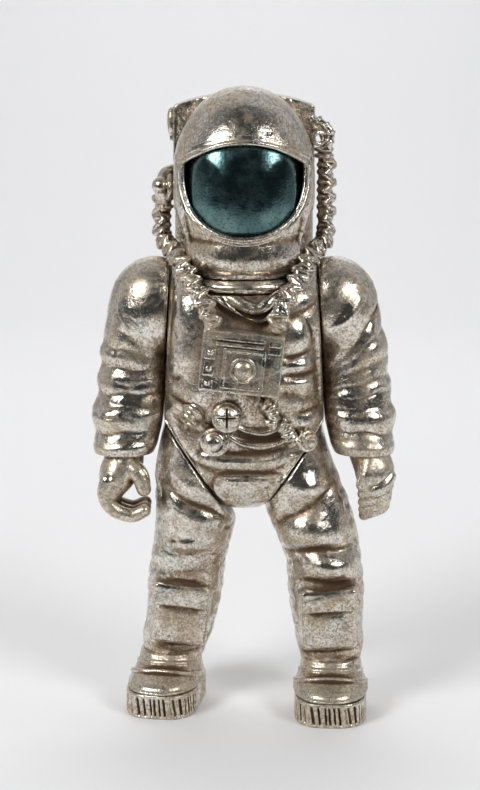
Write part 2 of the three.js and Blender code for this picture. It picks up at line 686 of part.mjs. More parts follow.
function makeBoot(name, side, line) {
  const half = SOLE_WIDTH / 2;
  const toe = -TOE_REACH;
  const heel = toe + SOLE_LENGTH;
  const place = new THREE.Matrix4()
    .makeTranslation(side * line.ankle, line.y, 0)
    .multiply(new THREE.Matrix4().makeRotationZ(radians(side * line.toeOut)));
  const level = (z, front, back, wide, power = 2.7) => ({ z, x: 0, front, back, half: wide, power });
  const sole = loft(
    [
      level(0, toe + 1, heel - 1, half - 1, 2.9),
      level(1.2, toe, heel, half, 2.9),
      level(SOLE_THICK, toe + 0.6, heel, half - 0.4, 2.9),
    ],
    20,
  );
  add(`leg_${name}`, `boot_sole_${name}`, sole.transform(place.elements), METAL);
  const low = SOLE_THICK + GAP;
  const rise = BOOT_HEIGHT - low;
  const upper = loft(
    [
      level(low, toe + 2, heel - 0.6, half - 1),
      level(low + 0.3 * rise, toe + 6, heel - 1, half - 1.4),
      level(low + 0.65 * rise, toe + 15, heel - 1.4, half - 1.2),
      level(BOOT_HEIGHT, toe + 21, heel - 1.6, ANKLE_HALF + 0.8),
    ],
    20,
  );
  add(`leg_${name}`, `boot_upper_${name}`, upper.transform(place.elements), METAL);
}

// ---------------------------------------------------------------- life-support pack
function makePack() {
  const half = PACK_WIDTH / 2;
  const split = PACK_FRONT + 0.55 * PACK_DEPTH;
  const rear = PACK_FRONT + PACK_DEPTH;
  const top = PACK_BASE + PACK_HEIGHT;
  const outline = (m) => roundedShape(-half + m, half - m, PACK_BASE + m, top - m, 7);
  let tray = slab(outline(0), PACK_FRONT, split - GAP / 2).subtract(
    slab(outline(WALL), PACK_FRONT + WALL, split + 1),
  );
  const lid = slab(outline(0), split + GAP / 2, rear).subtract(
    slab(outline(WALL), split - 1, rear - WALL),
  );
  const helmetRoom = helmetBody(1);
  for (const z of PACK_SCREW_HEIGHTS) {
    tray = tray.subtract(rod(0, z, SCREW.shank + GAP, PACK_FRONT - 1, PACK_FRONT + WALL + 1));
  }
  tray = tray.subtract(helmetRoom);
  add("trunk", "pack_tray", tray, METAL);
  add("trunk", "pack_cover", lid, METAL);
  PACK_SCREW_HEIGHTS.forEach((z, i) => {
    const head = PACK_FRONT + WALL + GAP;
    const profile = [
      [0, TRUNK_BACK - 8],
      [SCREW.shank, TRUNK_BACK - 8],
      [SCREW.shank, head],
      [SCREW.head, head],
      [SCREW.head, head + SCREW.headThick],
      [0, head + SCREW.headThick],
    ];
    const name = `pack_screw_${["upper", "lower"][i]}`;
    add("trunk", name, solid(turned(profile, 8), aim(new THREE.Vector3(0, 0, z), along)), STEEL);
  });

  const unitLow = top + GAP;
  const unit = new THREE.Shape();
  const corner = 9;
  const sideHigh = unitLow + PACK_TOP_HEIGHT - 5;
  unit.moveTo(-half, unitLow);
  unit.lineTo(half, unitLow);
  unit.lineTo(half, sideHigh - corner);
  unit.quadraticCurveTo(half, sideHigh, half - corner, sideHigh);
  unit.quadraticCurveTo(0, unitLow + PACK_TOP_HEIGHT + 4, -half + corner, sideHigh);
  unit.quadraticCurveTo(-half, sideHigh, -half, sideHigh - corner);
  unit.closePath();
  const oxygen = slab(unit, PACK_FRONT - 3, rear - 2, 6).subtract(helmetRoom);
  add("trunk", "oxygen_unit", oxygen, METAL);

  const latch = slab(
    roundedShape(-half - 3, -half - GAP, unitLow + 0.35 * PACK_TOP_HEIGHT, sideHigh - 3, 1.2),
    PACK_FRONT,
    PACK_FRONT + 9,
    2,
  );
  add("trunk", "pack_latch", latch, METAL);
}

// ---------------------------------------------------------------- chest box, hoses, connectors
const chestFront = -TRUNK_FRONT;
const boxMiddle = new THREE.Vector3(-1.2, chestFront - 1.6 - CHEST_BOX.depth / 2, SHOULDER_HEIGHT - 20.5);
const boxPlace = new THREE.Matrix4()
  .makeTranslation(boxMiddle.x, boxMiddle.y, boxMiddle.z)
  .multiply(new THREE.Matrix4().makeRotationY(radians(CHEST_BOX.roll)));

function makeChestBox() {
  const { width, height, depth } = CHEST_BOX;
  const outline = roundedShape(-width / 2, width / 2, -height / 2, height / 2, 1.2);
  let housing = slab(outline, -depth / 2, depth / 2 + 5, 2).transform(boxPlace.elements);
  housing = housing.subtract(loft(offset(trunkSections, GAP), 22));
  add("trunk", "chest_box", housing, METAL);
  const face = -depth / 2 - GAP;
  const place = (shape) => shape.transform(boxPlace.elements);
  const plate = (l, r, b, t, thick) =>
    slab(roundedShape(l, r, b, t, 0.8), face - thick, face, 2);
  const panelMiddle = { x: 1, z: -2.4 };
  const knobHole = rod(panelMiddle.x, panelMiddle.z, 4.6 + GAP, face - 6, face + 1, 16);
  const panel = plate(panelMiddle.x - 9.6, panelMiddle.x + 9.6, -11.4, 6.6, 1.4).subtract(knobHole);
  add("trunk", "chest_box_panel", place(panel), METAL);
  const dial = rod(panelMiddle.x, panelMiddle.z, 4.6, face - 2.8, face, 16);
  add("trunk", "chest_box_dial", place(dial), METAL);
  add("trunk", "chest_box_bar", place(plate(-12.5, 10, 8.4, 11.6, 2.2)), METAL);
  add("trunk", "chest_box_block", place(plate(11.8, 17.6, 7, 12, 1.6)), METAL);
  [3.2, -4.2, -10.6].forEach((z, i) => {
    const key = plate(-16.8, -11.4, z - 2.4, z + 2.4, 1.6);
    add("trunk", `chest_box_switch_${i + 1}`, place(key), METAL);
  });
}

// Two hoses come from the pack's sides, over the shoulders and down to the chest box.
function makeHoses() {
  const top = PACK_BASE + PACK_HEIGHT;
  const beside = Math.max(PACK_WIDTH / 2, HELMET_RADIUS) + HOSE_RADIUS + 0.8;
  const overShoulder = SHOULDER_HEIGHT + SHOULDER_CAP + HOSE_RADIUS + 1.5;
  const boxTop = boxMiddle.z + CHEST_BOX.height / 2;
  const grown = loft(offset(trunkSections, GAP), 22);
  const helmetRoom = helmetBody(GAP + 1.6, 24);
  const packSide = slab(
    roundedShape(-PACK_WIDTH / 2 - GAP, PACK_WIDTH / 2 + GAP, PACK_BASE, top + 60, 1),
    PACK_FRONT - 3 - GAP,
    PACK_FRONT + 60,
  );
  for (const [name, side] of Object.entries(SIDES)) {
    const start = name === "left" ? top + 6 : top - 14;
    const line = [
      [beside, 15, start],
      [beside, 14.5, 0.5 * (start + overShoulder) + 3],
      [beside - 0.6, 9, overShoulder + 4],
      [0.93 * SHOULDER_HALF, -1, overShoulder - 0.5],
      [0.8 * SHOULDER_HALF, -15, SHOULDER_HEIGHT + 20.5],
      [0.66 * SHOULDER_HALF, -0.84 * TRUNK_FRONT, SHOULDER_HEIGHT + 13],
      [0.53 * SHOULDER_HALF, chestFront - 3, SHOULDER_HEIGHT + 6],
      [0.44 * SHOULDER_HALF, chestFront - 6.6, SHOULDER_HEIGHT + 0.5],
      [0.42 * SHOULDER_HALF, chestFront - 7.4, boxTop + 2.8],
    ].map(([x, y, z]) => [side * x, y, z]);
    const hose = solid(tube(line, HOSE_RADIUS, 22, 7)).subtract(grown).subtract(helmetRoom);
    add("trunk", `chest_hose_${name}`, hose, METAL);
    const elbow = [
      [beside, 15, start + 4 * GAP],
      [beside, 15.6, start + 5],
      [beside - 1.4, 19, start + 9.4],
      [beside - 5, 25, start + 10.4],
    ].map(([x, y, z]) => [side * x, y, z]);
    const fitting = solid(tube(elbow, HOSE_RADIUS + 0.8, 7, 10));
    add("trunk", `hose_elbow_${name}`, fitting.subtract(packSide).subtract(helmetRoom), METAL);
  }
  const low = boxMiddle.z - CHEST_BOX.height / 2 - WAIST_HOSE_RADIUS;
  const waist = [
    [9, chestFront - 6.4, low - 2],
    [13, chestFront - 4, low - 5],
    [14.4, chestFront - 3, low - 11],
    [19.6, chestFront - 1.5, low - 15],
    [21.6, chestFront + 1, low - 20],
  ];
  add("trunk", "waist_hose", solid(tube(waist, WAIST_HOSE_RADIUS, 14, 8)).subtract(grown), METAL);
}

// Round life-support connectors that stand out of the trunk's front.
function makeConnectors() {
  const grown = loft(offset(trunkSections, GAP), 22);
  const places = [
    ["connector_upper", -7.9, HIP_HEIGHT + 26, 5.4, [0, -1, 0.1]],
    ["connector_lower", -14.5, HIP_HEIGHT + 14, 5.4, [-0.15, -1, 0]],
    ["connector_side", -24, HIP_HEIGHT + 26.4, 5, [-0.5, -1, -0.35]],
    ["connector_waist", 26.5, HIP_HEIGHT + 16.5, 4.2, [0.5, -1, 0]],
  ];
  for (const [name, x, z, radius, direction] of places) {
    const spread = Math.sqrt(1 - (x / 42) ** 2);
    const point = new THREE.Vector3(x, -0.9 * TRUNK_FRONT * spread, z);
    const profile = [[0, -6], [radius, -6], [radius, 3], [0.86 * radius, 4.2], [0, 4.2]];
    const body = solid(turned(profile, 14), aim(point, new THREE.Vector3(...direction)));
    add("trunk", name, body.subtract(grown), METAL);
  }
}

makeTrunk();
makeNeck();
makeHelmet();
for (const [name, side] of Object.entries(SIDES)) {
  makeArm(name, side);
  makeGlove(name, side);
  makeLeg(name, side);
}
makePack();
makeChestBox();
makeHoses();
makeConnectors();

// The origin goes to the middle of the floor under the figure.
const bounds = new THREE.Box3().setFromObject(figure);
const middle = bounds.getCenter(new THREE.Vector3());
figure.position.set(-middle.x, -middle.y, -bounds.min.z);

// Where each joint turns, in the figure's own axes.
figure.userData.joints = {
  neck: { point: new THREE.Vector3(0, -NECK_FORWARD, NECK_SEAT), axis: new THREE.Vector3(0, 0, 1) },
};
for (const [name, side] of Object.entries(SIDES)) {
  const joints = figure.userData.joints;
  joints[`shoulder_${name}`] = { point: shoulderPoint(side), axis: shoulderAxis(side) };
  joints[`wrist_${name}`] = { point: wristPoint(side), axis: forearmAxis };
  joints[`hip_${name}`] = { point: hipPoint(side), axis: hipAxis(side) };
}

export default figure;
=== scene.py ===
# The looks of the astronaut figure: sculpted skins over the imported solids, in antiqued silver leaf.
# Shapes are modelled as distance fields in millimetres and meshed in metres, in the frame's axes:
# +Z up, the figure faces -Y, and its own left side is at +X.
import json
import math

import bpy
import numpy as np
import openvdb
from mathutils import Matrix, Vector


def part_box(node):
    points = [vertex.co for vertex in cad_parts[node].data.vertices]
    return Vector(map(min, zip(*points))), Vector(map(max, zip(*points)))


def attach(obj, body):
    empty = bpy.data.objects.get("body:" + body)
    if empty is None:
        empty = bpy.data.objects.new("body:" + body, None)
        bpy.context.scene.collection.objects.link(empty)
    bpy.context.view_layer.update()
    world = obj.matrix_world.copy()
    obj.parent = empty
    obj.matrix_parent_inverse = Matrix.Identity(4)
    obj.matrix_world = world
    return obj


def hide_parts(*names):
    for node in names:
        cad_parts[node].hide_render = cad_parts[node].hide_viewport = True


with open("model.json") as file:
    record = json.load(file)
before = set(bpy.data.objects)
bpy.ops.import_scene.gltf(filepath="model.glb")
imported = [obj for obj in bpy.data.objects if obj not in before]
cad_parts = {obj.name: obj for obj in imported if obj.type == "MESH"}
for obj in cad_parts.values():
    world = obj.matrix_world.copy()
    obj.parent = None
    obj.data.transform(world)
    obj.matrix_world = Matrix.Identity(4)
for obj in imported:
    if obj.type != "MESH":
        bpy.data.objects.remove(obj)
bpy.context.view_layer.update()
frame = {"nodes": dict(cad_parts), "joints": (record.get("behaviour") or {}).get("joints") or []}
MM = 0.001
SIDES = {"left": 1, "right": -1}
JOINTS = {joint["name"]: joint for joint in frame["joints"]}


def joint_at(name):
    return np.array(JOINTS[name]["pos_m"]) / MM


def joint_axis(name):
    axis = np.array(JOINTS[name]["axis"], float)
    return axis / np.linalg.norm(axis)


def hip_axis(name, side):
    """The hip's axis, pointing out of the trunk."""
    axis = joint_axis(f"hip_{name}_swing")
    return axis * np.sign(axis[0]) * side


def shoulder_out(side):
    """Square to the shoulder's flat face, pointing out of the trunk."""
    return np.array([side * math.cos(SHOULDER_LEAN), 0, math.sin(SHOULDER_LEAN)])


def span(node):
    """The low and high corners of a CAD node, in millimetres."""
    low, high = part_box(node)
    return np.array(low) / MM, np.array(high) / MM


# ---------------------------------------------------------------- driving dimensions
FAR = 7.0  # the fields reach this far from a surface
SWING_GAP = 0.5  # between the flat faces of a joint
SHOULDER_LEAN = math.radians(3)  # of a shoulder's flat face, from upright

NECK = joint_at("neck_turn")
PEG_Y = joint_at("shoulder_left_swing")[1]
HELMET_LOW, HELMET_HIGH = span("helmet_shell")
HELMET_RADIUS = 0.5 * (HELMET_HIGH[0] - HELMET_LOW[0])
CHEST_FRONT = span("torso_front_shell")[0][1]
TRUNK_BACK = span("torso_back_shell")[1][1]


# ---------------------------------------------------------------- distance fields
def soft_min(a, b, blend):
    if blend <= 0:
        return np.minimum(a, b)
    near = np.maximum(blend - np.abs(a - b), 0) / blend
    return np.minimum(a, b) - near * near * blend * 0.25


def smooth(x, xs, values):
    """A smooth curve through (xs, values), flat beyond its ends; xs rise."""
    xs = np.asarray(xs, float)
    values = np.asarray(values, float)
    slopes = np.gradient(values, xs)
    x = np.clip(x, xs[0], xs[-1])
    k = np.clip(np.searchsorted(xs, x) - 1, 0, len(xs) - 2)
    step = xs[k + 1] - xs[k]
    t = (x - xs[k]) / step
    a = (1 + 2 * t) * (1 - t) ** 2 * values[k] + t * (1 - t) ** 2 * step * slopes[k]
    return a + t * t * (3 - 2 * t) * values[k + 1] + t * t * (t - 1) * step * slopes[k + 1]


def spline(points, count=24):
    """Evenly counted points on a smooth curve through a few, in any number of columns."""
    points = np.array(points, float)
    along = np.arange(len(points))
    t = np.linspace(0, len(points) - 1, count)
    return np.stack([smooth(t, along, column) for column in points.T], 1)


def ball(centre, radii, power=2.0):
    """An ellipsoid, or a boxier body where power is above 2."""
    centre = np.array(centre, float)
    radii = np.ones(3) * radii

    def distance(x, y, z):
        u, v, w = (np.abs(a - c) / r for a, c, r in zip((x, y, z), centre, radii))
        near = (u ** power + v ** power + w ** power) ** (1 / power) + 1e-6
        steep = np.sqrt((u / radii[0]) ** 2 + (v / radii[1]) ** 2 + (w / radii[2]) ** 2)
        return (near - 1) * np.sqrt(u * u + v * v + w * w + 1e-9) / (steep + 1e-6)

    return centre - radii, centre + radii, distance


def frame_of(forward):
    """Three unit rows: sideways, forward and up, with forward kept exactly."""
    forward = np.array(forward, float)
    forward = forward / np.linalg.norm(forward)
    side = np.cross(forward, (0, 0, 1))
    side = side / np.linalg.norm(side)
    return np.stack([side, forward, np.cross(side, forward)])


def turned(angle):
    """Three unit rows turned about the front axis, for a block."""
    c, s = math.cos(angle), math.sin(angle)
    return np.array([[c, 0, s], [0, 1, 0], [-s, 0, c]])


def block(centre, half, corner=0.6, rows=np.eye(3)):
    """A box with rounded edges; rows are its own three axes."""
    centre = np.array(centre, float)
    half = np.array(half, float)
    reach = np.abs(rows.T) @ half

    def distance(x, y, z):
        u, v, w = (x - centre[0]), (y - centre[1]), (z - centre[2])
        q = [np.abs(r[0] * u + r[1] * v + r[2] * w) - h + corner for r, h in zip(rows, half)]
        outside = np.sqrt(sum(np.maximum(a, 0) ** 2 for a in q))
        inside = np.minimum(np.maximum(np.maximum(q[0], q[1]), q[2]), 0)
        return outside + inside - corner

    return centre - reach, centre + reach, distance


def puck(centre, axis, radius, half, corner=0.4):
    """A round disc or bar about an axis, with rounded rims."""
    centre = np.array(centre, float)
    axis = np.array(axis, float) / np.linalg.norm(axis)
    reach = np.ones(3) * math.hypot(radius, half)

    def distance(x, y, z):
        u, v, w = (x - centre[0]), (y - centre[1]), (z - centre[2])
        up = axis[0] * u + axis[1] * v + axis[2] * w
        out = np.sqrt(np.maximum(u * u + v * v + w * w - up * up, 0))
        a = out - radius + corner
        b = np.abs(up) - half + corner
        outside = np.sqrt(np.maximum(a, 0) ** 2 + np.maximum(b, 0) ** 2)
        return outside + np.minimum(np.maximum(a, b), 0) - corner

    return centre - reach, centre + reach, distance


def hoop(centre, axis, radius, thick):
    """A ring of round section about an axis."""
    centre = np.array(centre, float)
    axis = np.array(axis, float) / np.linalg.norm(axis)
    reach = np.ones(3) * (radius + thick)

    def distance(x, y, z):
        u, v, w = (x - centre[0]), (y - centre[1]), (z - centre[2])
        up = axis[0] * u + axis[1] * v + axis[2] * w
        out = np.sqrt(np.maximum(u * u + v * v + w * w - up * up, 0))
        return np.hypot(out - radius, up) - thick

    return centre - reach, centre + reach, distance


def half_space(point, normal):
    """Everything on the side that the normal points away from."""
    point = np.array(point, float)
    normal = np.array(normal, float) / np.linalg.norm(normal)
    wide = np.ones(3) * 1e4

    def distance(x, y, z):
        return normal[0] * (x - point[0]) + normal[1] * (y - point[1]) + normal[2] * (z - point[2])

    return -wide, wide, distance


class Loft:
    """A body over level sections: rows of height, centre x, centre y, half-width, half-depth."""

    def __init__(self, rows, power=2.0):
        self.rows = np.array(sorted(rows), float)
        self.power = power

    def at(self, z, column):
        return smooth(z, self.rows[:, 0], self.rows[:, column])

    def point(self, angle, z, lift=0.0):
        """On the skin: 0 degrees is the front and 90 is at +X."""
        a = math.radians(angle)
        side, front = math.sin(a), math.cos(a)
        scale = (abs(side) ** self.power + abs(front) ** self.power) ** (-1 / self.power)
        x = self.at(z, 1) + (self.at(z, 3) * scale + lift) * side
        y = self.at(z, 2) - (self.at(z, 4) * scale + lift) * front
        return [float(x), float(y), float(z)]

    def front(self, x, z, lift=0.0):
        """On the front of the skin at a given x and z."""
        u = min(abs(x - self.at(z, 1)) / self.at(z, 3), 0.995)
        y = self.at(z, 2) - self.at(z, 4) * (1 - u ** self.power) ** (1 / self.power) - lift
        return [float(x), float(y), float(z)]

    def shape(self):
        low, high = self.rows[0, 0], self.rows[-1, 0]
        wide = self.rows[:, 3].max() + 6
        deep = self.rows[:, 4].max() + 6
        corner_low = np.array([self.rows[:, 1].min() - wide, self.rows[:, 2].min() - deep, low])
        corner_high = np.array([self.rows[:, 1].max() + wide, self.rows[:, 2].max() + deep, high])

        def distance(x, y, z):
            half_x = self.at(z, 3)
            half_y = self.at(z, 4)
            u = np.abs((x - self.at(z, 1)) / half_x)
            v = np.abs((y - self.at(z, 2)) / half_y)
            near = (u ** self.power + v ** self.power) ** (1 / self.power) + 1e-6
            steep = np.sqrt((u / half_x) ** 2 + (v / half_y) ** 2) / np.sqrt(u * u + v * v + 1e-9)
            side = (near - 1) / (steep + 1e-6)
            return np.maximum(side, np.maximum(low - z, z - high))

        return corner_low, corner_high, distance


def ends_fade(points):
    """Radii along a line that draw back towards its ends, or none where it closes."""
    if np.linalg.norm(np.subtract(points[0], points[-1])) < 0.1:
        return 0.0
    return -3.2 * np.abs(np.linspace(-1, 1, len(points))) ** 4


class Clay:
    """A solid being sculpted: a distance field on a grid, negative inside."""

    def __init__(self, low, high, cell):
        self.low = np.array(low, float)
        self.cell = cell
        self.count = np.ceil((np.array(high) - self.low) / cell).astype(int) + 1
        self.field = np.full(self.count, FAR, np.float32)
        self.umber_and_shade_spots = []

    def window(self, low, high):
        """The slices of the grid between two corners, and their coordinates."""
        first = np.floor((np.array(low) - self.low) / self.cell).astype(int)
        last = np.ceil((np.array(high) - self.low) / self.cell).astype(int) + 1
        first = np.clip(first, 0, self.count)
        last = np.clip(last, first, self.count)
        cut = tuple(slice(a, b) for a, b in zip(first, last))
        axes = [
            (self.low[k] + self.cell * np.arange(first[k], last[k])).astype(np.float32)
            for k in range(3)
        ]
        return cut, np.meshgrid(*axes, indexing="ij", sparse=True)

    def whole_grid(self):
        """The coordinates of the whole grid, for a field of its own."""
        return self.window(self.low, self.low + self.cell * self.count)[1]

    def add(self, shape, blend=0.8):
        low, high, distance = shape
        cut, grid = self.window(low - blend - 3, high + blend + 3)
        if self.field[cut].size:
            self.field[cut] = soft_min(self.field[cut], distance(*grid), blend)
        return self

    def cut(self, shape, blend=0.5):
        low, high, distance = shape
        cut, grid = self.window(low - blend - 3, high + blend + 3)
        if self.field[cut].size:
            self.field[cut] = -soft_min(-self.field[cut], distance(*grid), blend)
        return self

    def keep(self, shape, blend=0.0):
        outside = shape[2](*self.whole_grid())
        self.field[...] = -soft_min(-self.field, -outside, blend)
        return self

    def line(self, points, radii):
        """The distance to a line of tapering round segments, where it is near."""
        points = np.array(points, float)
        radii = np.ones(len(points)) * radii
        reach = radii.max() + FAR
        whole, _ = self.window(points.min(0) - reach, points.max(0) + reach)
        near = np.full(self.count, FAR, np.float32)
        for a, b, ra, rb in zip(points[:-1], points[1:], radii[:-1], radii[1:]):
            cut, (x, y, z) = self.window(np.minimum(a, b) - reach, np.maximum(a, b) + reach)
            if not near[cut].size:
                continue
            d = b - a
            u, v, w = x - a[0], y - a[1], z - a[2]
            t = np.clip((u * d[0] + v * d[1] + w * d[2]) / max(d @ d, 1e-9), 0, 1)
            away = np.sqrt((u - t * d[0]) ** 2 + (v - t * d[1]) ** 2 + (w - t * d[2]) ** 2)
            near[cut] = np.minimum(near[cut], away - (ra + (rb - ra) * t))
        return whole, near[whole]

    def rope(self, points, radii, blend=0.8):
        whole, near = self.line(points, radii)
        self.field[whole] = soft_min(self.field[whole], near, blend)
        return self

    def crease(self, points, width, depth):
        """Presses a groove along a line, fading at its ends; a negative depth raises a ridge."""
        whole, near = self.line(points, ends_fade(points))
        self.field[whole] += depth * np.exp(-np.maximum(near, 0) ** 2 / width ** 2)
        return self

    def fold(self, points, width, depth):
        """Presses a sharp-bottomed valley with full round shoulders along a line."""
        whole, near = self.line(points, ends_fade(points))
        away = np.sqrt(np.maximum(near, 0) ** 2 + 0.16) - 0.4
        self.field[whole] += depth * np.exp(-away / width) * np.clip(FAR - near, 0, 1)
        return self

    def swell(self, centre, radii, height):
        """Raises or, with a negative height, hollows the skin round a point."""
        centre = np.array(centre, float)
        radii = np.ones(3) * radii
        cut, (x, y, z) = self.window(centre - 2.6 * radii, centre + 2.6 * radii)
        u, v, w = (x - centre[0]) / radii[0], (y - centre[1]) / radii[1], (z - centre[2]) / radii[2]
        self.field[cut] -= height * np.exp(-(u * u + v * v + w * w))
        return self

    def umber_and_shade_spot(self, centre, radii, amount):
        """Darkens the skin round a point with umber and painted shade, or with a negative amount lightens
        it.
        """
        self.umber_and_shade_spots.append((np.array(centre, float), np.ones(3) * radii, amount))
        return self

    def blurred(self, reach):
        """The field averaged over a cube of this half-size."""
        f = np.clip(self.field, -FAR, FAR)
        n = max(int(round(reach / self.cell)), 1)
        for axis in range(3):
            pad = [(n + 1, n) if k == axis else (0, 0) for k in range(3)]
            total = np.cumsum(np.pad(f, pad, mode="edge"), axis, dtype=np.float32)
            size = f.shape[axis]
            ends = np.arange(size)
            f = (np.take(total, ends + 2 * n + 1, axis) - np.take(total, ends, axis)) / (2 * n + 1)
        return f

    def sample(self, volume, spots):
        """A volume's values at points given in cells."""
        base = np.clip(np.floor(spots).astype(int), 0, self.count - 2)
        t = spots - base
        total = np.zeros(len(spots))
        for corner in range(8):
            step = np.array([corner & 1, corner >> 1 & 1, corner >> 2 & 1])
            weight = np.prod(np.where(step, t, 1 - t), 1)
            total += weight * volume[tuple((base + step).T)]
        return total

    def mesh(self, name):
        """The skin as a smooth mesh, with how concave it is at each point, plus the spots of painted shade
        and umber, kept for the patina and its painted shade.
        """
        grid = openvdb.FloatGrid()
        grid.background = FAR
        field = np.clip(self.field, -FAR, FAR)
        for axis in range(3):
            edge = [slice(None)] * 3
            for end in (0, -1):
                edge[axis] = end
                field[tuple(edge)] = np.maximum(field[tuple(edge)], self.cell)
        grid.copyFromArray(field)
        spots, quads = grid.convertToQuads(isovalue=0.0)
        fine, broad = (-self.sample(self.blurred(reach), spots) for reach in (1.1, 3.4))
        hollow_and_shade = fine / 0.35 + broad / 1.5
        # spots of painted shade mixed with umber, lighter where the amount is negative
        for centre, radii, amount in self.umber_and_shade_spots:
            away = (spots * self.cell + self.low - centre) / radii
            hollow_and_shade += 0.6 * amount * np.exp(-(away * away).sum(1))
        mesh = bpy.data.meshes.new(name)
        vertices = (spots * self.cell + self.low) * MM
        mesh.from_pydata(vertices.tolist(), [], quads[:, ::-1].tolist())
        mesh.polygons.foreach_set("use_smooth", np.ones(len(mesh.polygons), bool))
        mesh.attributes.new("hollow_and_shade", "FLOAT", "POINT").data.foreach_set("value", hollow_and_shade.astype(np.float32))
        piece = bpy.data.objects.new(name, mesh)
        bpy.context.scene.collection.objects.link(piece)
        relax = piece.modifiers.new("relax", "SMOOTH")
        relax.factor = 0.5
        relax.iterations = 1
        return piece


def finish_piece(piece, body, slot, material, *nodes):
    """Paints a piece, ties it to its body and puts it in place of the solids it stands for."""
    piece.data.materials.clear()
    piece.data.materials.append(material)
    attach(piece, body)
    if nodes:
        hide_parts(*nodes)
    return piece


# ---------------------------------------------------------------- materials
def node_tree(name):
    material = bpy.data.materials.new(name)
    material.use_nodes = True
    nodes = material.node_tree.nodes
    return material, nodes, material.node_tree.links, nodes["Principled BSDF"]


def noise(nodes, links, scale, detail=4.0, roughness=0.6, distortion=0.0):
    place = nodes.new("ShaderNodeTexCoord")
    node = nodes.new("ShaderNodeTexNoise")
    node.inputs["Scale"].default_value = scale
    node.inputs["Detail"].default_value = detail
    node.inputs["Roughness"].default_value = roughness
    node.inputs["Distortion"].default_value = distortion
    links.new(place.outputs["Object"], node.inputs["Vector"])
    return node.outputs["Fac"]


def spread(nodes, links, value, low, high, out_low=0.0, out_high=1.0):
    node = nodes.new("ShaderNodeMapRange")
    node.interpolation_type = "SMOOTHSTEP"
    node.inputs["From Min"].default_value = low
    node.inputs["From Max"].default_value = high
    node.inputs["To Min"].default_value = out_low
    node.inputs["To Max"].default_value = out_high
    links.new(value, node.inputs["Value"])
    return node.outputs["Result"]


def reckon(nodes, links, operation, a, b):
    node = nodes.new("ShaderNodeMath")
    node.operation = operation
    for socket, value in zip(node.inputs, (a, b)):
        if isinstance(value, float):
            socket.default_value = value
        else:
            links.new(value, socket)
    return node.outputs["Value"]


def mix_colour(nodes, links, share, a, b):
    node = nodes.new("ShaderNodeMix")
    node.data_type = "RGBA"
    links.new(share, node.inputs["Factor"])
    for socket, value in ((node.inputs["A"], a), (node.inputs["B"], b)):
        if isinstance(value, tuple):
            socket.default_value = (*value, 1)
        else:
            links.new(value, socket)
    return node.outputs["Result"]


def bump(nodes, links, height, strength, distance):
    node = nodes.new("ShaderNodeBump")
    node.inputs["Strength"].default_value = strength
    node.inputs["Distance"].default_value = distance
    links.new(height, node.inputs["Height"])
    return node


def cracks(nodes, links, scale):
    """Fine crazing: 1 along a wandering net of lines and 0 between them."""
    place = nodes.new("ShaderNodeTexCoord")
    wander = nodes.new("ShaderNodeTexNoise")
    wander.inputs["Scale"].default_value = scale * 0.8
    links.new(place.outputs["Object"], wander.inputs["Vector"])
    bent = nodes.new("ShaderNodeMix")
    bent.data_type = "VECTOR"
    bent.inputs["Factor"].default_value = 0.0025
    links.new(place.outputs["Object"], bent.inputs[4])
    links.new(wander.outputs["Color"], bent.inputs[5])
    net = nodes.new("ShaderNodeTexVoronoi")
    net.feature = "DISTANCE_TO_EDGE"
    net.inputs["Scale"].default_value = scale
    links.new(bent.outputs[1], net.inputs["Vector"])
    return spread(nodes, links, net.outputs["Distance"], 0.03, 0.16, 1.0, 0.0)


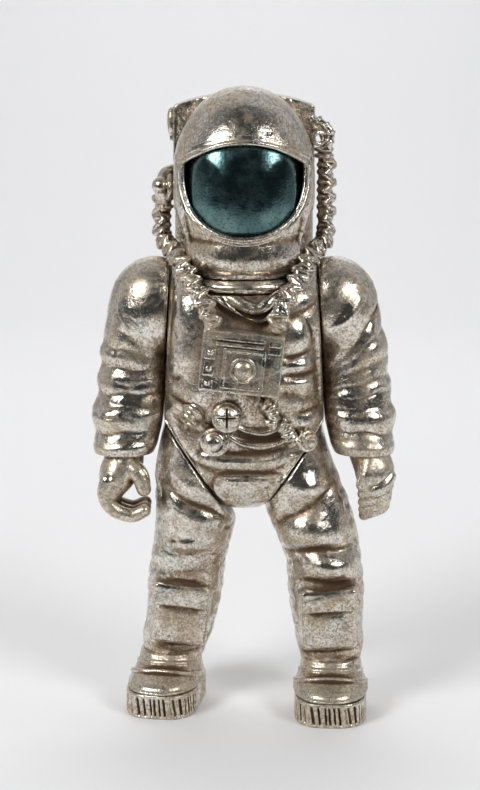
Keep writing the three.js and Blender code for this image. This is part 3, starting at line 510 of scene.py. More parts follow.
def silver_leaf(name, wash=0.0, film=0.0):
    """Champagne silver leaf over cast resin, antiqued with umber that stays in the hollows; painted shade
    from ambient occlusion and from the painted spots darkens it further in enclosed places and between
    parts.
    """
    material, nodes, links, shader = node_tree(name)
    hollow_and_shade = nodes.new("ShaderNodeAttribute")
    hollow_and_shade.attribute_name = "hollow_and_shade"
    broad = noise(nodes, links, 60, 3.0, 0.55, 0.4)
    mottle = noise(nodes, links, 240, 6.0, 0.75, 0.8)
    speck = noise(nodes, links, 900, 4.0, 0.8, 0.5)
    tint = noise(nodes, links, 38, 3.0, 0.6)
    veins = cracks(nodes, links, 430)

    def mul(a, b):
        return reckon(nodes, links, "MULTIPLY", a, b)

    def add(a, b):
        return reckon(nodes, links, "ADD", a, b)

    # painted shade: ambient occlusion darkens enclosed places and the gaps between parts, and feeds the
    # brown masks below
    shade = nodes.new("ShaderNodeAmbientOcclusion")
    shade.samples = 6
    shade.inputs["Distance"].default_value = 0.016
    recess = spread(nodes, links, shade.outputs["AO"], 0.25, 0.85, 1.0, 0.0)
    ragged = add(add(mul(mottle, 2.6), mul(broad, 1.1)), -0.55)
    # depth adds the hollows' patina, the occlusion's painted shade and random mottle
    depth = add(add(hollow_and_shade.outputs["Fac"], recess), ragged)
    # this mask, and the two drawn from it, carry painted shade as well as the umber patina
    umber_and_shade_mask = add(depth, mul(speck, 1.8))
    umber_and_shade = spread(nodes, links, umber_and_shade_mask, 2.7 - wash, 3.8 - wash)
    rubbed_umber_and_shade = spread(nodes, links, umber_and_shade_mask, 2.05 - wash, 3.3 - wash, 0.0, 0.85)
    haze = add(broad, mul(mottle, 0.8))
    cream = spread(nodes, links, haze, 0.74 - film, 1.1 - film)
    patches = spread(nodes, links, mottle, 0.42, 0.58)
    pits = spread(nodes, links, speck, 0.5, 0.6)
    fleck = reckon(nodes, links, "MAXIMUM", pits, mul(mul(veins, patches), 0.6))

    leaf = mix_colour(nodes, links, cream, (0.86, 0.82, 0.75), (0.7, 0.61, 0.49))
    teal = spread(nodes, links, tint, 0.56, 0.72, 0.0, 0.4)
    leaf = mix_colour(nodes, links, teal, leaf, (0.48, 0.6, 0.54))
    leaf = mix_colour(nodes, links, mul(fleck, 0.85), leaf, (0.2, 0.15, 0.1))
    # the two browns below are umber patina darkened further where painted shade falls
    leaf = mix_colour(nodes, links, rubbed_umber_and_shade, leaf, (0.33, 0.225, 0.135))
    leaf = mix_colour(nodes, links, umber_and_shade, leaf, (0.085, 0.05, 0.026))
    links.new(leaf, shader.inputs["Base Color"])

    worn = reckon(nodes, links, "MAXIMUM", mul(cream, 0.5), mul(rubbed_umber_and_shade, 0.7))
    dull = reckon(nodes, links, "MAXIMUM", umber_and_shade, worn)
    links.new(spread(nodes, links, dull, 0.0, 1.0, 1.0, 0.4), shader.inputs["Metallic"])
    rough = add(spread(nodes, links, dull, 0.0, 1.0, 0.13, 0.5), mul(fleck, 0.12))
    links.new(rough, shader.inputs["Roughness"])

    relief = add(add(speck, mul(mottle, 1.2)), mul(veins, -0.15))
    grain = bump(nodes, links, relief, 0.22, 0.0004)
    waves = bump(nodes, links, broad, 0.4, 0.003)
    links.new(waves.outputs["Normal"], grain.inputs["Normal"])
    links.new(grain.outputs["Normal"], shader.inputs["Normal"])
    return material


def teal_lacquer(name):
    """Clouded teal lacquer with dark flecks, over a bright metal."""
    material, nodes, links, shader = node_tree(name)
    cloud = noise(nodes, links, 110, 5.0, 0.65, 0.3)
    speck = noise(nodes, links, 900, 3.0, 0.7)
    thin = spread(nodes, links, cloud, 0.35, 0.7)
    colour = mix_colour(nodes, links, thin, (0.05, 0.115, 0.12), (0.14, 0.25, 0.25))
    fleck = spread(nodes, links, speck, 0.52, 0.64, 0.0, 0.8)
    colour = mix_colour(nodes, links, fleck, colour, (0.02, 0.035, 0.04))
    links.new(colour, shader.inputs["Base Color"])
    shader.inputs["Metallic"].default_value = 0.97
    links.new(spread(nodes, links, cloud, 0.3, 0.7, 0.14, 0.26), shader.inputs["Roughness"])
    shader.inputs["Coat Weight"].default_value = 0.6
    shader.inputs["Coat Roughness"].default_value = 0.16
    links.new(bump(nodes, links, speck, 0.3, 0.0004).outputs["Normal"], shader.inputs["Normal"])
    return material


def plain(name, colour, metallic, roughness):
    """Pegs and screws: moulded nylon or turned steel with fine marks."""
    material, nodes, links, shader = node_tree(name)
    marks = noise(nodes, links, 700, 4.0, 0.7)
    darker = tuple(0.75 * c for c in colour)
    links.new(mix_colour(nodes, links, marks, darker, colour), shader.inputs["Base Color"])
    shader.inputs["Metallic"].default_value = metallic
    rough = spread(nodes, links, marks, 0.3, 0.7, roughness - 0.08, roughness + 0.1)
    links.new(rough, shader.inputs["Roughness"])
    links.new(bump(nodes, links, marks, 0.2, 0.0002).outputs["Normal"], shader.inputs["Normal"])
    return material


LEAF = silver_leaf("silver_leaf")
LEAF_WORN = silver_leaf("silver_leaf_fittings", wash=0.1, film=0.03)
LEAF_MATTE = silver_leaf("silver_leaf_matte", film=0.14)
VISOR = teal_lacquer("teal_lacquer")
NYLON = plain("nylon", (0.75, 0.73, 0.7), 0.0, 0.5)
STEEL = plain("steel", (0.5, 0.5, 0.52), 1.0, 0.3)
for node, thing in frame["nodes"].items():
    shown = STEEL if "screw" in node or "washer" in node else NYLON
    thing.data.materials.clear()
    thing.data.materials.append(shown)


# ---------------------------------------------------------------- helmet
HELMET_ROWS = [
    # height above the helmet's base and radius: the chin bowl, then the cover and its dome
    (0.0, 24.6), (3.0, 26.0), (8.0, 26.9), (14.0, 27.3), (18.0, 28.4), (22.0, 30.0),
    (27.0, 31.4), (33.0, 32.7), (40.0, 33.2), (50.0, 33.1), (57.0, 32.3), (62.5, 30.8),
    (69.0, 27.9), (75.2, 24.0), (80.0, 19.6), (84.3, 13.0), (86.4, 7.6), (87.4, 0.0),
]
HELMET_SHARE = HELMET_RADIUS / 33.0
HELMET_TOP = HELMET_LOW[2] + HELMET_ROWS[-1][0]
WINDOW_HALF = 28.4
WINDOW_CORNER = 266.0  # the height where the arched top meets the sides
WINDOW_TOP = 275.8
WINDOW_LOW = 231.8
WINDOW_ARCH = 2.1  # the power of its top edge


def helmet_square(z):
    """The square of the helmet's radius at a height; it falls off evenly at the crown."""
    heights = [row[0] for row in HELMET_ROWS]
    squares = [(row[1] * HELMET_SHARE) ** 2 for row in HELMET_ROWS]
    return smooth(z - HELMET_LOW[2], heights, squares)


def helmet_radius(z, inset=0.0):
    return np.maximum(np.sqrt(np.maximum(helmet_square(z), 0)) - inset, 0.05)


def window_edge(t, grow=0.0):
    """A point of the window's rim in front view, x and z, for t from 0 to 1 round it."""
    half = WINDOW_HALF + grow
    if t < 0.28:
        u = t / 0.28 * 2 - 1
        return half * u, WINDOW_TOP + grow - (WINDOW_TOP - WINDOW_CORNER) * abs(u) ** WINDOW_ARCH
    a = (t - 0.28) / 0.72 * math.pi
    drop = math.sin(a) ** 0.69
    return half * math.cos(a), WINDOW_CORNER + grow - (WINDOW_CORNER - WINDOW_LOW + 2 * grow) * drop


def rim_points(count, grow=0.0, lift=0.0):
    """The window's rim on the helmet, grown in front view and lifted off the skin."""
    points = []
    for t in np.linspace(0, 1, count):
        x, z = window_edge(t, grow)
        radius = float(helmet_radius(np.array(z))) + lift
        points.append([x, NECK[1] - math.sqrt(max(radius ** 2 - x * x, 4.0)), z])
    return points


def window_share(x, z):
    """Below 0 inside the window, in millimetres from its rim, and above 0 outside it."""
    top = WINDOW_TOP - (WINDOW_TOP - WINDOW_CORNER) * (np.abs(x) / WINDOW_HALF) ** WINDOW_ARCH
    drop = np.clip((WINDOW_CORNER - z) / (WINDOW_CORNER - WINDOW_LOW), 0, 1.2)
    half = WINDOW_HALF * np.sqrt(np.clip(1 - drop ** 2.9, 0, 1)) - 4 * np.clip(drop - 1, 0, 1)
    return np.maximum(np.abs(x) - half, z - top)


def helmet_body(clay, inset=0.0):
    """The field of the helmet's round body on a clay's grid, and that grid's axes."""
    x, y, z = clay.whole_grid()
    square = helmet_square(z.ravel())
    rate = np.gradient(square, clay.cell).reshape(z.shape)
    out = (x - NECK[0]) ** 2 + (y - NECK[1]) ** 2
    gap = (out - square.reshape(z.shape)) / np.sqrt(4 * out + rate ** 2 + 1e-3)
    body = np.maximum(gap, HELMET_LOW[2] - z) + inset
    return np.where(z > HELMET_TOP, np.maximum(body, z - HELMET_TOP), body).astype(np.float32), x, y, z


def helmet_ring(radius, z, tilt=0.0):
    """A level ring round the helmet, dipping in front by tilt."""
    return [
        [NECK[0] + radius * math.sin(a), NECK[1] - radius * math.cos(a), z - tilt * math.cos(a)]
        for a in np.linspace(0, 2 * math.pi, 61)
    ]


def make_helmet():
    clay = Clay(HELMET_LOW - 2, (HELMET_HIGH[0] + 2, HELMET_HIGH[1] + 2, HELMET_TOP + 2), cell=0.6)
    clay.field, x, y, z = helmet_body(clay)
    clay.crease(helmet_ring(27.0, 224.5, 1.5), 6.5, -1.5)
    clay.fold(helmet_ring(28.4, 231.0, 1.0), 1.6, 1.1)
    clay.crease(helmet_ring(25.8, 216.0, 0.6), 1.0, 0.7)
    # the cover's edge runs down each side of the chin bowl, under a round pivot
    for side in (-1, 1):
        edge = []
        for level in np.linspace(247, 226, 12):
            a = math.radians(62 + 0.25 * (247 - level))
            radius = float(helmet_radius(np.array(level))) + 0.2
            edge.append([side * radius * math.sin(a), NECK[1] - radius * math.cos(a), level])
        clay.rope(edge, 1.0, 1.0)
        clay.fold([(u - 1.6 * side, v - 1.6, w) for u, v, w in edge], 1.4, 0.8)
        clay.add(puck((side * 30.8, NECK[1] + 1, 249), (1, 0, 0), 6.4, 1.8, 1.0), 1.2)
    clay.cut(puck((NECK[0], NECK[1], HELMET_LOW[2]), (0, 0, 1), 22.5, 3.0, 0.3), 0.4)
    front = np.maximum(window_share(x, z), y - NECK[1] + 4)
    inner, *_ = helmet_body(clay, 7.5)
    hole = np.maximum(front, -inner)
    clay.field = -soft_min(-clay.field, hole.astype(np.float32), 0.4)
    piece = clay.mesh("helmet_skin")
    return finish_piece(piece, "head", "helmet", LEAF, "helmet_shell")


def make_bezel():
    """Three ropes round the window: the rim, its outer lip and its inner one."""
    clay = Clay(HELMET_LOW - 3, HELMET_HIGH + 2, cell=0.42)
    clay.rope(rim_points(120, 0.0, 0.1), 1.15, 0.2)
    clay.rope(rim_points(120, 2.7, 0.0), 0.7, 0.5)
    clay.rope(rim_points(120, 1.4, -0.9), 1.3, 0.4)
    piece = clay.mesh("visor_rim")
    return finish_piece(piece, "head", "helmet", LEAF_WORN, "visor_bezel")


def make_visor():
    """A lacquered bubble that stands in a dark recess behind the window."""
    clay = Clay((-31, NECK[1] - 35, 229), (31, NECK[1] - 2, 279), cell=0.45)
    field, x, y, z = helmet_body(clay, 6.2)
    back, *_ = helmet_body(clay, 10.0)
    backing = np.maximum(np.maximum(field, -back), window_share(x, z) - 1.0)
    clay.field = np.maximum(backing, y - NECK[1] + 4).astype(np.float32)
    middle = 0.5 * (WINDOW_TOP + WINDOW_LOW) + 0.6
    across = np.abs(x) / 25.9
    upright = np.hypot((y - NECK[1] + 8.4) / 22.8, (z - middle) / 36.0)
    bubble = ((across ** 2.6 + upright ** 2.6) ** (1 / 2.6) - 1) * 24
    clay.field = soft_min(clay.field, bubble, 0.4).astype(np.float32)
    clay.field = np.maximum(clay.field, helmet_body(clay, 1.4)[0])
    clay.keep(half_space((0, NECK[1] - 7, 0), (0, 1, 0)))
    return finish_piece(clay.mesh("visor_bubble"), "head", "visor", VISOR, "visor")


def make_neck_ring():
    low, high = span("neck_ring")
    middle = (low + high) / 2
    clay = Clay(low - 2, high + 2, cell=0.5)
    clay.add(puck(middle, (0, 0, 1), 24.6, 3.0, 0.8), 0)
    clay.add(hoop(middle + np.array([0, 0, -0.4]), (0, 0, 1), 24.4, 2.6), 0.8)
    clay.cut(puck(middle, (0, 0, 1), 12, 5.0), 0.3)
    return finish_piece(clay.mesh("neck_roll"), "trunk", "suit", LEAF, "neck_ring")


# ---------------------------------------------------------------- trunk
TRUNK = Loft([
    (101.5, 0, PEG_Y, 11, 14),
    (104, 0, PEG_Y - 0.5, 16, 18),
    (109, 0, PEG_Y - 0.5, 24, 21.5),
    (125, 0, PEG_Y - 0.8, 37.4, 24.2),
    (141, 0, PEG_Y - 1.2, 40.4, 24.8),
    (154, 0, PEG_Y - 2.4, 40.8, 27),
    (178, 0, PEG_Y - 3.4, 40.6, 28.2),
    (197, 0, PEG_Y - 3.2, 40, 27.6),
    (206, 0, PEG_Y - 2.2, 40, 25.6),
    (214, 0, PEG_Y, 40, 18.5),
    (220, 0, PEG_Y, 40, 9),
], power=2.5)


def joint_planes(margin):
    """The flat faces where the arms and legs meet the trunk, set in by a margin."""
    planes = []
    for name, side in SIDES.items():
        out = shoulder_out(side)
        planes.append(half_space(joint_at(f"shoulder_{name}_swing") - margin * out, out))
        axis = hip_axis(name, side)
        planes.append(half_space(joint_at(f"hip_{name}_swing") - margin * axis, axis))
    return planes


def on_front(points, lift=0.0):
    """Points of the trunk's front, each given by its x and z."""
    return [TRUNK.front(x, z, lift) for x, z in points]


def drape(clay):
    """The cloth hung in two V-shaped rolls from the neck, over the yoke."""
    edge = [(-24, 217), (-14.5, 210.5), (-2, 202), (5.6, 199.6), (12, 203), (22, 214)]
    upper = spline(on_front(edge, 0.6), 30)
    edge = [(-21, 211.5), (-11, 203.6), (-4.8, 198.9), (3, 195.3), (8.4, 194.6), (14, 199), (19, 206)]
    lower = spline(on_front(edge, 0.4), 30)
    clay.rope(upper, 3.1, 1.6)
    clay.rope(lower, 1.9, 1.0)
    clay.fold([(x, y, z - 4.0) for x, y, z in upper], 1.2, 1.6)
    clay.fold([(x, y, z - 3.0) for x, y, z in lower], 1.6, 1.8)
    clay.fold(spline(on_front([(-26, 208), (-17, 200), (-9, 195), (2, 191.5)]), 14), 1.5, 1.0)


def chest_folds(clay):
    """Padding each side of the chest box, with short valleys and one long one down each side."""
    for x, z, radii, height in (
        (-25.5, 199, (8.5, 9, 12), 2.6),
        (-27, 178, (8, 8, 11), 1.8),
        (25, 186, (7.5, 9, 9), 3.0),
        (26, 172.4, (7, 8, 3.0), 1.8),
        (26, 164.4, (7, 8, 3.2), 1.8),
        (-24, 159, (8, 8, 8), 1.6),
    ):
        clay.swell(TRUNK.front(x, z), radii, height)
    for line, depth in (
        ([(17, 177.4), (22, 177.0), (28, 178.4), (34, 181)], 1.9),
        ([(16.6, 168.8), (23, 168), (29, 168.4), (35, 170)], 1.7),
        ([(16, 159.8), (23, 158.6), (30, 157), (36, 157)], 1.7),
        ([(24, 150), (31, 150.6), (37, 153)], 1.2),
        ([(19, 196), (23, 196.5), (30, 199), (36, 204)], 1.2),
        ([(-38, 169), (-33, 166), (-27, 167.5)], 1.1),
        ([(-36, 158), (-30, 155.4), (-25, 152)], 1.2),
        ([(-33, 191), (-30, 186), (-31, 178)], 0.8),
    ):
        clay.fold(spline(on_front(line), 16), 1.7, depth)
    for line, depth in (
        ([(-33.6, 214), (-33.6, 203), (-34.2, 193), (-36, 178), (-37.2, 166), (-36.4, 152)], 2.2),
        ([(27, 198), (31.7, 186), (33.8, 173), (35, 162), (37, 150)], 2.2),
    ):
        clay.fold(spline(on_front(line), 26), 1.9, depth)


def belly_folds(clay):
    """Cloth gathered in crescents between the connectors, over one broad roll."""
    for line, radius in (
        ([(-4.5, 144.4), (1, 141.6), (9, 140.4), (15.5, 142.6), (19, 146)], 1.7),
        ([(-7, 139), (-1, 135.4), (8, 134.2), (16, 135.6), (22, 138.6)], 2.2),
    ):
        thickness = np.interp(np.linspace(0, 1, 24), (0, 0.5, 1), (0.6, radius, 0.8))
        clay.rope(spline(on_front(line, 0.6), 24), thickness, 1.6)
    for line, depth in (
        ([(-6, 141.6), (1, 138.8), (9, 137.8), (17, 139.4), (21, 142)], 1.2),
        ([(-18, 135), (-9, 131.4), (2, 130.4), (12, 131), (23, 134.4)], 1.7),
        ([(-30, 130), (-17, 122.6), (-2, 120.8), (12, 121.2), (25, 128)], 1.3),
        ([(-34, 148), (-28, 142), (-20, 139.4)], 1.3),
        ([(-20, 146), (-14, 143.6), (-9, 143)], 1.0),
    ):
        clay.fold(spline(on_front(line), 22), 1.5, depth)
    clay.swell(TRUNK.front(-1, 126.4), (17, 7, 3.6), 2.2)
    clay.swell(TRUNK.front(29, 144), (7, 7, 5), 1.6)
    clay.rope(spline(on_front([(22, 128.4), (31, 130), (38, 131.4)], 0.2), 10), 0.9, 0.8)


def crotch_panel(clay):
    """A flap with a double top edge and two snaps."""
    edge = [(-9.5, 107), (-13.4, 110.4), (-14.6, 114.2), (-12.8, 117.6), (-9.6, 119), (15, 119), (16.2, 117)]
    clay.rope(spline(on_front(edge, 0.1), 40), 0.7, 0.6)
    clay.rope(on_front([(-8, 116.9), (0, 116.8), (14, 116.9)], 0.3), 0.55, 0.4)
    clay.fold(spline(on_front([(x * 1.06, z + 1.5 if z > 112 else z) for x, z in edge]), 40), 1.0, 0.9)
    for x, z in ((10.6, 114.2), (11.6, 110.4)):
        clay.add(hoop(TRUNK.front(x, z, 0.1), (0.2, -1, 0), 1.35, 0.42), 0.2)


def make_trunk():
    clay = Clay((-41, CHEST_FRONT - 5, 100), (41, TRUNK_BACK + 2, 222), cell=0.61)
    clay.add(TRUNK.shape(), 0)
    chest_folds(clay)
    drape(clay)
    belly_folds(clay)
    crotch_panel(clay)
    for x, z in ((-7.9, 149), (-13.8, 136.8), (-24, 149.4)):
        clay.crease(on_front([(x - 1, z - 7.5), (x - 6, z - 5), (x - 7.6, z + 1)]), 1.6, 1.0)
    clay.cut(puck((NECK[0], NECK[1], NECK[2] + 20), (0, 0, 1), 28.4, 20.2, 0.5), 0.5)
    for plane in joint_planes(SWING_GAP / 2):
        clay.keep(plane, 1.6)
    # painted shade mixed with umber: in the creases beside the arms and under the drape, the chest box, the
    # fittings and the crotch panel
    for x, z, wide, tall, amount in (
        (-35, 172, 5, 26, 1.1), (36, 168, 5, 26, 1.1), (-25, 158, 7, 12, 0.9), (6, 150, 12, 5, 0.9),
        (0, 190, 16, 4, 0.4), (-27, 136, 8, 7, 0.7), (0, 104, 12, 4, 0.6), (28, 150, 8, 8, 0.5),
    ):
        clay.umber_and_shade_spot(TRUNK.front(x, z), (wide, 14, tall), amount)
    piece = clay.mesh("trunk_skin")
    finish_piece(piece, "trunk", "suit", LEAF, "torso_front_shell", "torso_back_shell")
    make_hip_seams()


def make_hip_seams():
    """The raised piping along each leg opening."""
    for name, side in SIDES.items():
        axis = hip_axis(name, side)
        hip = joint_at(f"hip_{name}_swing")
        points = []
        for t in range(-78, 70, 4):
            low, high = 100.0, 146.0
            for _ in range(24):
                z = 0.5 * (low + high)
                p = np.array(TRUNK.point(side * (90 + t), z))
                if (p - hip) @ axis > -1.1:
                    low = z
                else:
                    high = z
            if 103 < z < 145.5:
                points.append(p - axis * 0.2)
        if len(points) > 3:
            clay = Clay(np.min(points, 0) - 3, np.max(points, 0) + 3, cell=0.4)
            clay.rope(points, 0.75, 0)
            finish_piece(clay.mesh(f"hip_seam_{name}"), "trunk", "suit", LEAF)


# ---------------------------------------------------------------- arms
ARM_FOLDS = {
    # each valley round a sleeve: height in front, rise at the outside, start and end angles, width, depth
    "right": [
        (182, 9.5, -70, 40, 1.3, 1.6), (176.5, 4, -78, 130, 2.2, 2.6), (168.6, 2.0, -78, 160, 2.2, 2.6),
        (161.5, 0.5, -70, 60, 1.2, 1.0), (157.0, 0, -75, 160, 2.0, 2.2), (151.5, 1.5, -60, 100, 1.3, 1.3),
        (139.4, -1.5, -100, 180, 2.0, 2.4), (134.4, -1, -100, 180, 1.0, 0.9),
        (145.6, 1.6, -30, 120, 1.0, 0.7),
    ],
    "left": [
        (180, 18, -70, 100, 1.9, 2.5), (174, 13, -72, 130, 1.5, 1.6), (167.4, 7, -75, 150, 2.0, 2.3),
        (160.8, 4.6, -75, 150, 1.9, 2.2), (155.2, 3.4, -40, 120, 1.1, 0.9), (149.6, 1.2, -75, 150, 2.0, 2.2),
        (139.2, -1.5, -100, 180, 2.0, 2.4), (134.6, -1, -100, 180, 0.9, 0.7),
    ],
}


def arm_loft(name, side):
    """The sleeve's own inner side runs straight down beside the trunk."""
    wrist = joint_at(f"wrist_{name}_turn")
    rows = [
        # height, inner and outer reach, centre y, half-depth
        (127.6, 43.2, 71.4, wrist[1] - 0.4, 14.2), (131, 41.6, 72.2, wrist[1], 15.6),
        (136, 40.2, 72.2, wrist[1] + 1, 15.6), (141, 38.2, 72.4, wrist[1] + 2, 16.2),
        (147, 36.4, 72.8, wrist[1] + 3, 17), (154, 35.6, 70.8, PEG_Y - 1.5, 16.8),
        (161, 35.0, 70.6, PEG_Y - 0.6, 17), (168, 34.4, 69.2, PEG_Y, 17), (175, 34, 69.6, PEG_Y, 17.4),
        (183, 33.6, 67.4, PEG_Y, 17.6), (192, 33, 64.6, PEG_Y, 17.6), (199, 33, 62, PEG_Y, 16.4),
        (206, 33, 58, PEG_Y, 12),
    ]
    return Loft([(z, side * (a + b) / 2, cy, (b - a) / 2, hy) for z, a, b, cy, hy in rows], power=2.2)


def arm_folds(clay, loft, side, folds):
    for z, rise, first, last, width, depth in folds:
        points = []
        for a in range(first, last + 1, 6):
            swing = math.sin(math.radians(a))
            wave = 0.5 * math.sin(0.11 * a + z)
            points.append(loft.point(side * a, z + rise * swing + wave, 0.2))
        clay.fold(points, width, depth)


def make_arm(name, side):
    shoulder = joint_at(f"shoulder_{name}_swing")
    wrist = joint_at(f"wrist_{name}_turn")
    low, high = span(f"arm_sleeve_{name}")
    clay = Clay(low - 3, high + 3, cell=0.55)
    loft = arm_loft(name, side)
    clay.add(loft.shape(), 0)
    clay.add(ball((shoulder[0] + side * 6.5, PEG_Y, 197.5), (21.5, 20.5, 23)), 5)
    arm_folds(clay, loft, side, ARM_FOLDS[name])
    if name == "left":
        ridge = [loft.point(side * a, z, 1.5) for a, z in ((-52, 186), (-28, 188.5), (0, 194), (24, 202))]
        clay.rope(spline(ridge, 18), np.linspace(1.0, 2.4, 18), 2.4)
        clay.swell(loft.point(side * -38, 178), (6, 7, 6), -1.6)
    else:
        clay.swell(loft.point(side * 40, 146, 1), (10, 9, 4), 1.2)
    # cuff mouth
    aim = joint_axis(f"wrist_{name}_turn")
    clay.cut(puck(wrist + aim * 2, aim, 11.8, 5.5, 1.5), 1.2)
    out = shoulder_out(side)
    clay.keep(half_space(shoulder + SWING_GAP / 2 * out, -out), 1.6)
    # painted shade mixed with umber down the sleeve's inner side, where it faces the trunk
    clay.umber_and_shade_spot((side * 37, PEG_Y - 8, 168), (4.5, 18, 32), 1.1)
    piece = clay.mesh(f"sleeve_{name}")
    return finish_piece(piece, f"arm_{name}", "suit", LEAF, f"arm_sleeve_{name}")


def open_hand(clay, at, reach):
    """Four fingers that curl up to meet the thumb, with a gap between."""
    clay.add(ball(at(-2.6, -4.4, 12), (8.0, 9.8, 9.0)), 3)
    clay.add(ball(at(-5.2, -5, 18.5), (5.2, 9.2, 8.0)), 3)
    for i, y in enumerate((-11.8, -7.2, -2.6, 2.0)):
        long = 1 - 0.045 * abs(i - 1.2)
        path = spline([
            at(-6.4, y, 13 * long), at(-7.6, y, 20.5 * long), at(-4.0, y, 27.5 * long),
            at(0.45 * reach, y, 31 * long), at(reach + 0.4, y, 28.4 * long),
        ], 14)
        clay.rope(path, np.linspace(3.9, 3.0, 14), 0.7)
    thumb = spline([at(2, -7, 5), at(0.5 * reach + 3.4, -10.6, 9.6), at(reach + 0.4, -11.6, 16.4)], 10)
    clay.rope(thumb, np.linspace(5.2, 3.5, 10), 1.6)


def resting_hand(clay, at, reach):
    """Four fingers one below another across the palm, seen from the back of the hand."""
    clay.add(ball(at(-0.6, -5.4, 10.5), (8.6, 9.8, 10.5)), 3)
    clay.add(ball(at(-2.6, -4, 20), (6.4, 9.4, 9.0)), 3)
    for i, (y, drop) in enumerate(((-10.6, 17.0), (-8.8, 21.4), (-6.4, 25.6), (-3.4, 29.2))):
        path = spline([
            at(-7.0 + 0.8 * i, y + 1.5, drop - 6), at(-4.2, y - 1.6, drop - 2.6),
            at(1.0, y - 1.8, drop), at(reach - 0.4 * i, y, drop + 2.0),
        ], 12)
        clay.rope(path, np.linspace(3.5, 2.6, 12), 0.5)
    thumb = spline([at(2.4, -9, 4), at(3.4, -12, 9), at(reach - 0.2, -12.4, 14)], 10)
    clay.rope(thumb, np.linspace(5.0, 3.6, 10), 1.8)


def make_glove(name, side):
    wrist = joint_at(f"wrist_{name}_turn")
    low, high = span(f"glove_{name}")
    clay = Clay(low - 4, high + 4, cell=0.42)
    wide = 4.5 if name == "left" else 1.0
    reach = 5.4 if name == "left" else 10.4

    def at(across, y, drop):
        """A place given inwards from the wrist, forwards and down."""
        return [wrist[0] - side * (across - wide), wrist[1] + y, wrist[2] - drop]

    clay.rope([at(wide, -1, -5), at(1, -2.5, 4), at(-0.5, -4, 8)], [9.4, 9.4, 9.0], 2)
    if name == "right":
        open_hand(clay, at, reach)
    else:
        resting_hand(clay, at, reach)
    piece = clay.mesh(f"glove_skin_{name}")
    return finish_piece(piece, f"hand_{name}", "gloves", LEAF_MATTE, f"glove_{name}")


# ---------------------------------------------------------------- legs and boots
LEG_ROWS = {
    # height, centre across and deep, half across and deep
    "left": [
        (22, 42.6, -4.8, 14.2, 14.6), (30, 42.2, -4.8, 16, 16.4), (38, 41.4, -4.4, 17.4, 17.8),
        (50, 40.4, -3.6, 18.8, 18.6), (62, 39.8, -3, 19.4, 19), (73, 38.6, -2.8, 19.2, 19.4),
        (84, 36.2, -2.6, 20.6, 20.6), (96, 32.2, -2.2, 21.6, 21.2), (108, 28.2, PEG_Y, 21, 22.2),
        (118, 25, PEG_Y, 19.4, 22.8), (130, 22.8, PEG_Y, 17.2, 22.8), (146, 23, PEG_Y, 13.2, 22),
    ],
    "right": [
        (22, 34.8, 6.7, 14.6, 14.6), (30, 33.6, 6.6, 16.4, 16.4), (38, 31.8, 6.2, 18, 17.8),
        (50, 29.6, 5, 18.8, 18.6), (62, 28.4, 3.6, 19.4, 19), (73, 27, 2.4, 19.2, 19.4),
        (84, 25, 1, 20, 20.6), (96, 23, -0.4, 20.8, 21.2), (108, 23, PEG_Y, 20.6, 22.2),
        (118, 23.2, PEG_Y, 19.6, 22.8), (130, 23, PEG_Y, 17.6, 22.8), (146, 23.4, PEG_Y, 13.4, 22),
    ],
}
LEG_FOLDS = {
    # each valley across a leg's front: height, rise at the outside, start and end angles, width, depth
    "left": [
        (103.5, 12, -60, 50, 2.2, 2.6), (82.5, 2, -54, 62, 2.2, 3.8), (66, -1, -64, 64, 1.8, 1.8),
        (93, -9, 36, 84, 1.8, 1.4), (32, 3, -84, 60, 1.3, 1.3), (27.4, -1.4, -60, 90, 1.2, 1.3),
        (35.4, -3, 10, 84, 1.3, 1.1), (78, 5, -84, -30, 1.8, 1.8),
    ],
    "right": [
        (105, 12, -50, 56, 2.4, 2.4), (79, 3, -56, 66, 2.2, 3.2), (89, -9, 12, 84, 1.8, 2.0),
        (70.5, -2, -64, 70, 2.0, 2.2), (32, -3, -60, 84, 1.3, 1.3), (27.6, 1.4, -90, 60, 1.2, 1.3),
        (36, 3, -70, 20, 1.3, 1.1), (95, 4, -84, -36, 1.8, 1.6),
    ],
}
LEG_SWELLS = {
    # rounded fullness on a leg's front: angle, height, half-sizes across, deep and up, how far it stands out
    "left": [
        (-6, 91, 13, 12, 8.5, 5.2), (8, 73.5, 12, 12, 6, 5.6),
        (8, 113, 10, 12, 6, 3.0), (44, 106, 7, 7, 8, 1.4),
    ],
    "right": [
        (-16, 113, 9, 12, 7, 3.8), (-14, 96, 10, 12, 7, 4.2),
        (2, 84, 11, 10, 4, 2.6), (26, 100, 7, 9, 12, 2.0),
    ],
}


def leg_folds(clay, loft, name, side):
    """Even rolls round the back, and the front's own valleys and bulges."""
    for k, z in enumerate(np.arange(40, 116, 7.8)):
        valley = []
        for a in range(58, 300, 7):
            wave = 1.3 * math.sin(math.radians(2 * a) + k)
            valley.append(loft.point(side * a, z + wave, 0.2))
        clay.fold(valley, 2.5, 2.9)
    for z, rise, first, last, width, depth in LEG_FOLDS[name]:
        valley = []
        for a in range(first, last + 1, 6):
            wave = 0.7 * math.sin(0.09 * a + 0.7 * z + side)
            valley.append(loft.point(side * a, z + rise * math.sin(math.radians(a)) + wave, 0.2))
        clay.fold(valley, width, depth)
    for angle, z, across, deep, up, height in LEG_SWELLS[name]:
        clay.swell(loft.point(side * angle, z), (across, deep, up), height)


def shin_pocket(clay, shin, front, tilt):
    """A rounded flap that hangs over a lower patch."""
    rows = turned(tilt)
    clay.add(block((shin, front + 5.4, 47), (13.2, 6.4, 14.5), 2.6, rows), 2.4)
    clay.add(block((shin, front + 0.8, 57.4), (13.4, 3.8, 5.8), 1.8, rows), 0.4)
    clay.fold([(shin + u, front - 1.4, 50.6 + u * math.tan(tilt)) for u in (-12, -6, 0, 6, 12)], 0.8, 1.2)
    clay.fold([(shin + u, front - 0.8, 64.4 + u * math.tan(tilt)) for u in (-13, -6, 0, 6, 13)], 1.5, 2.0)


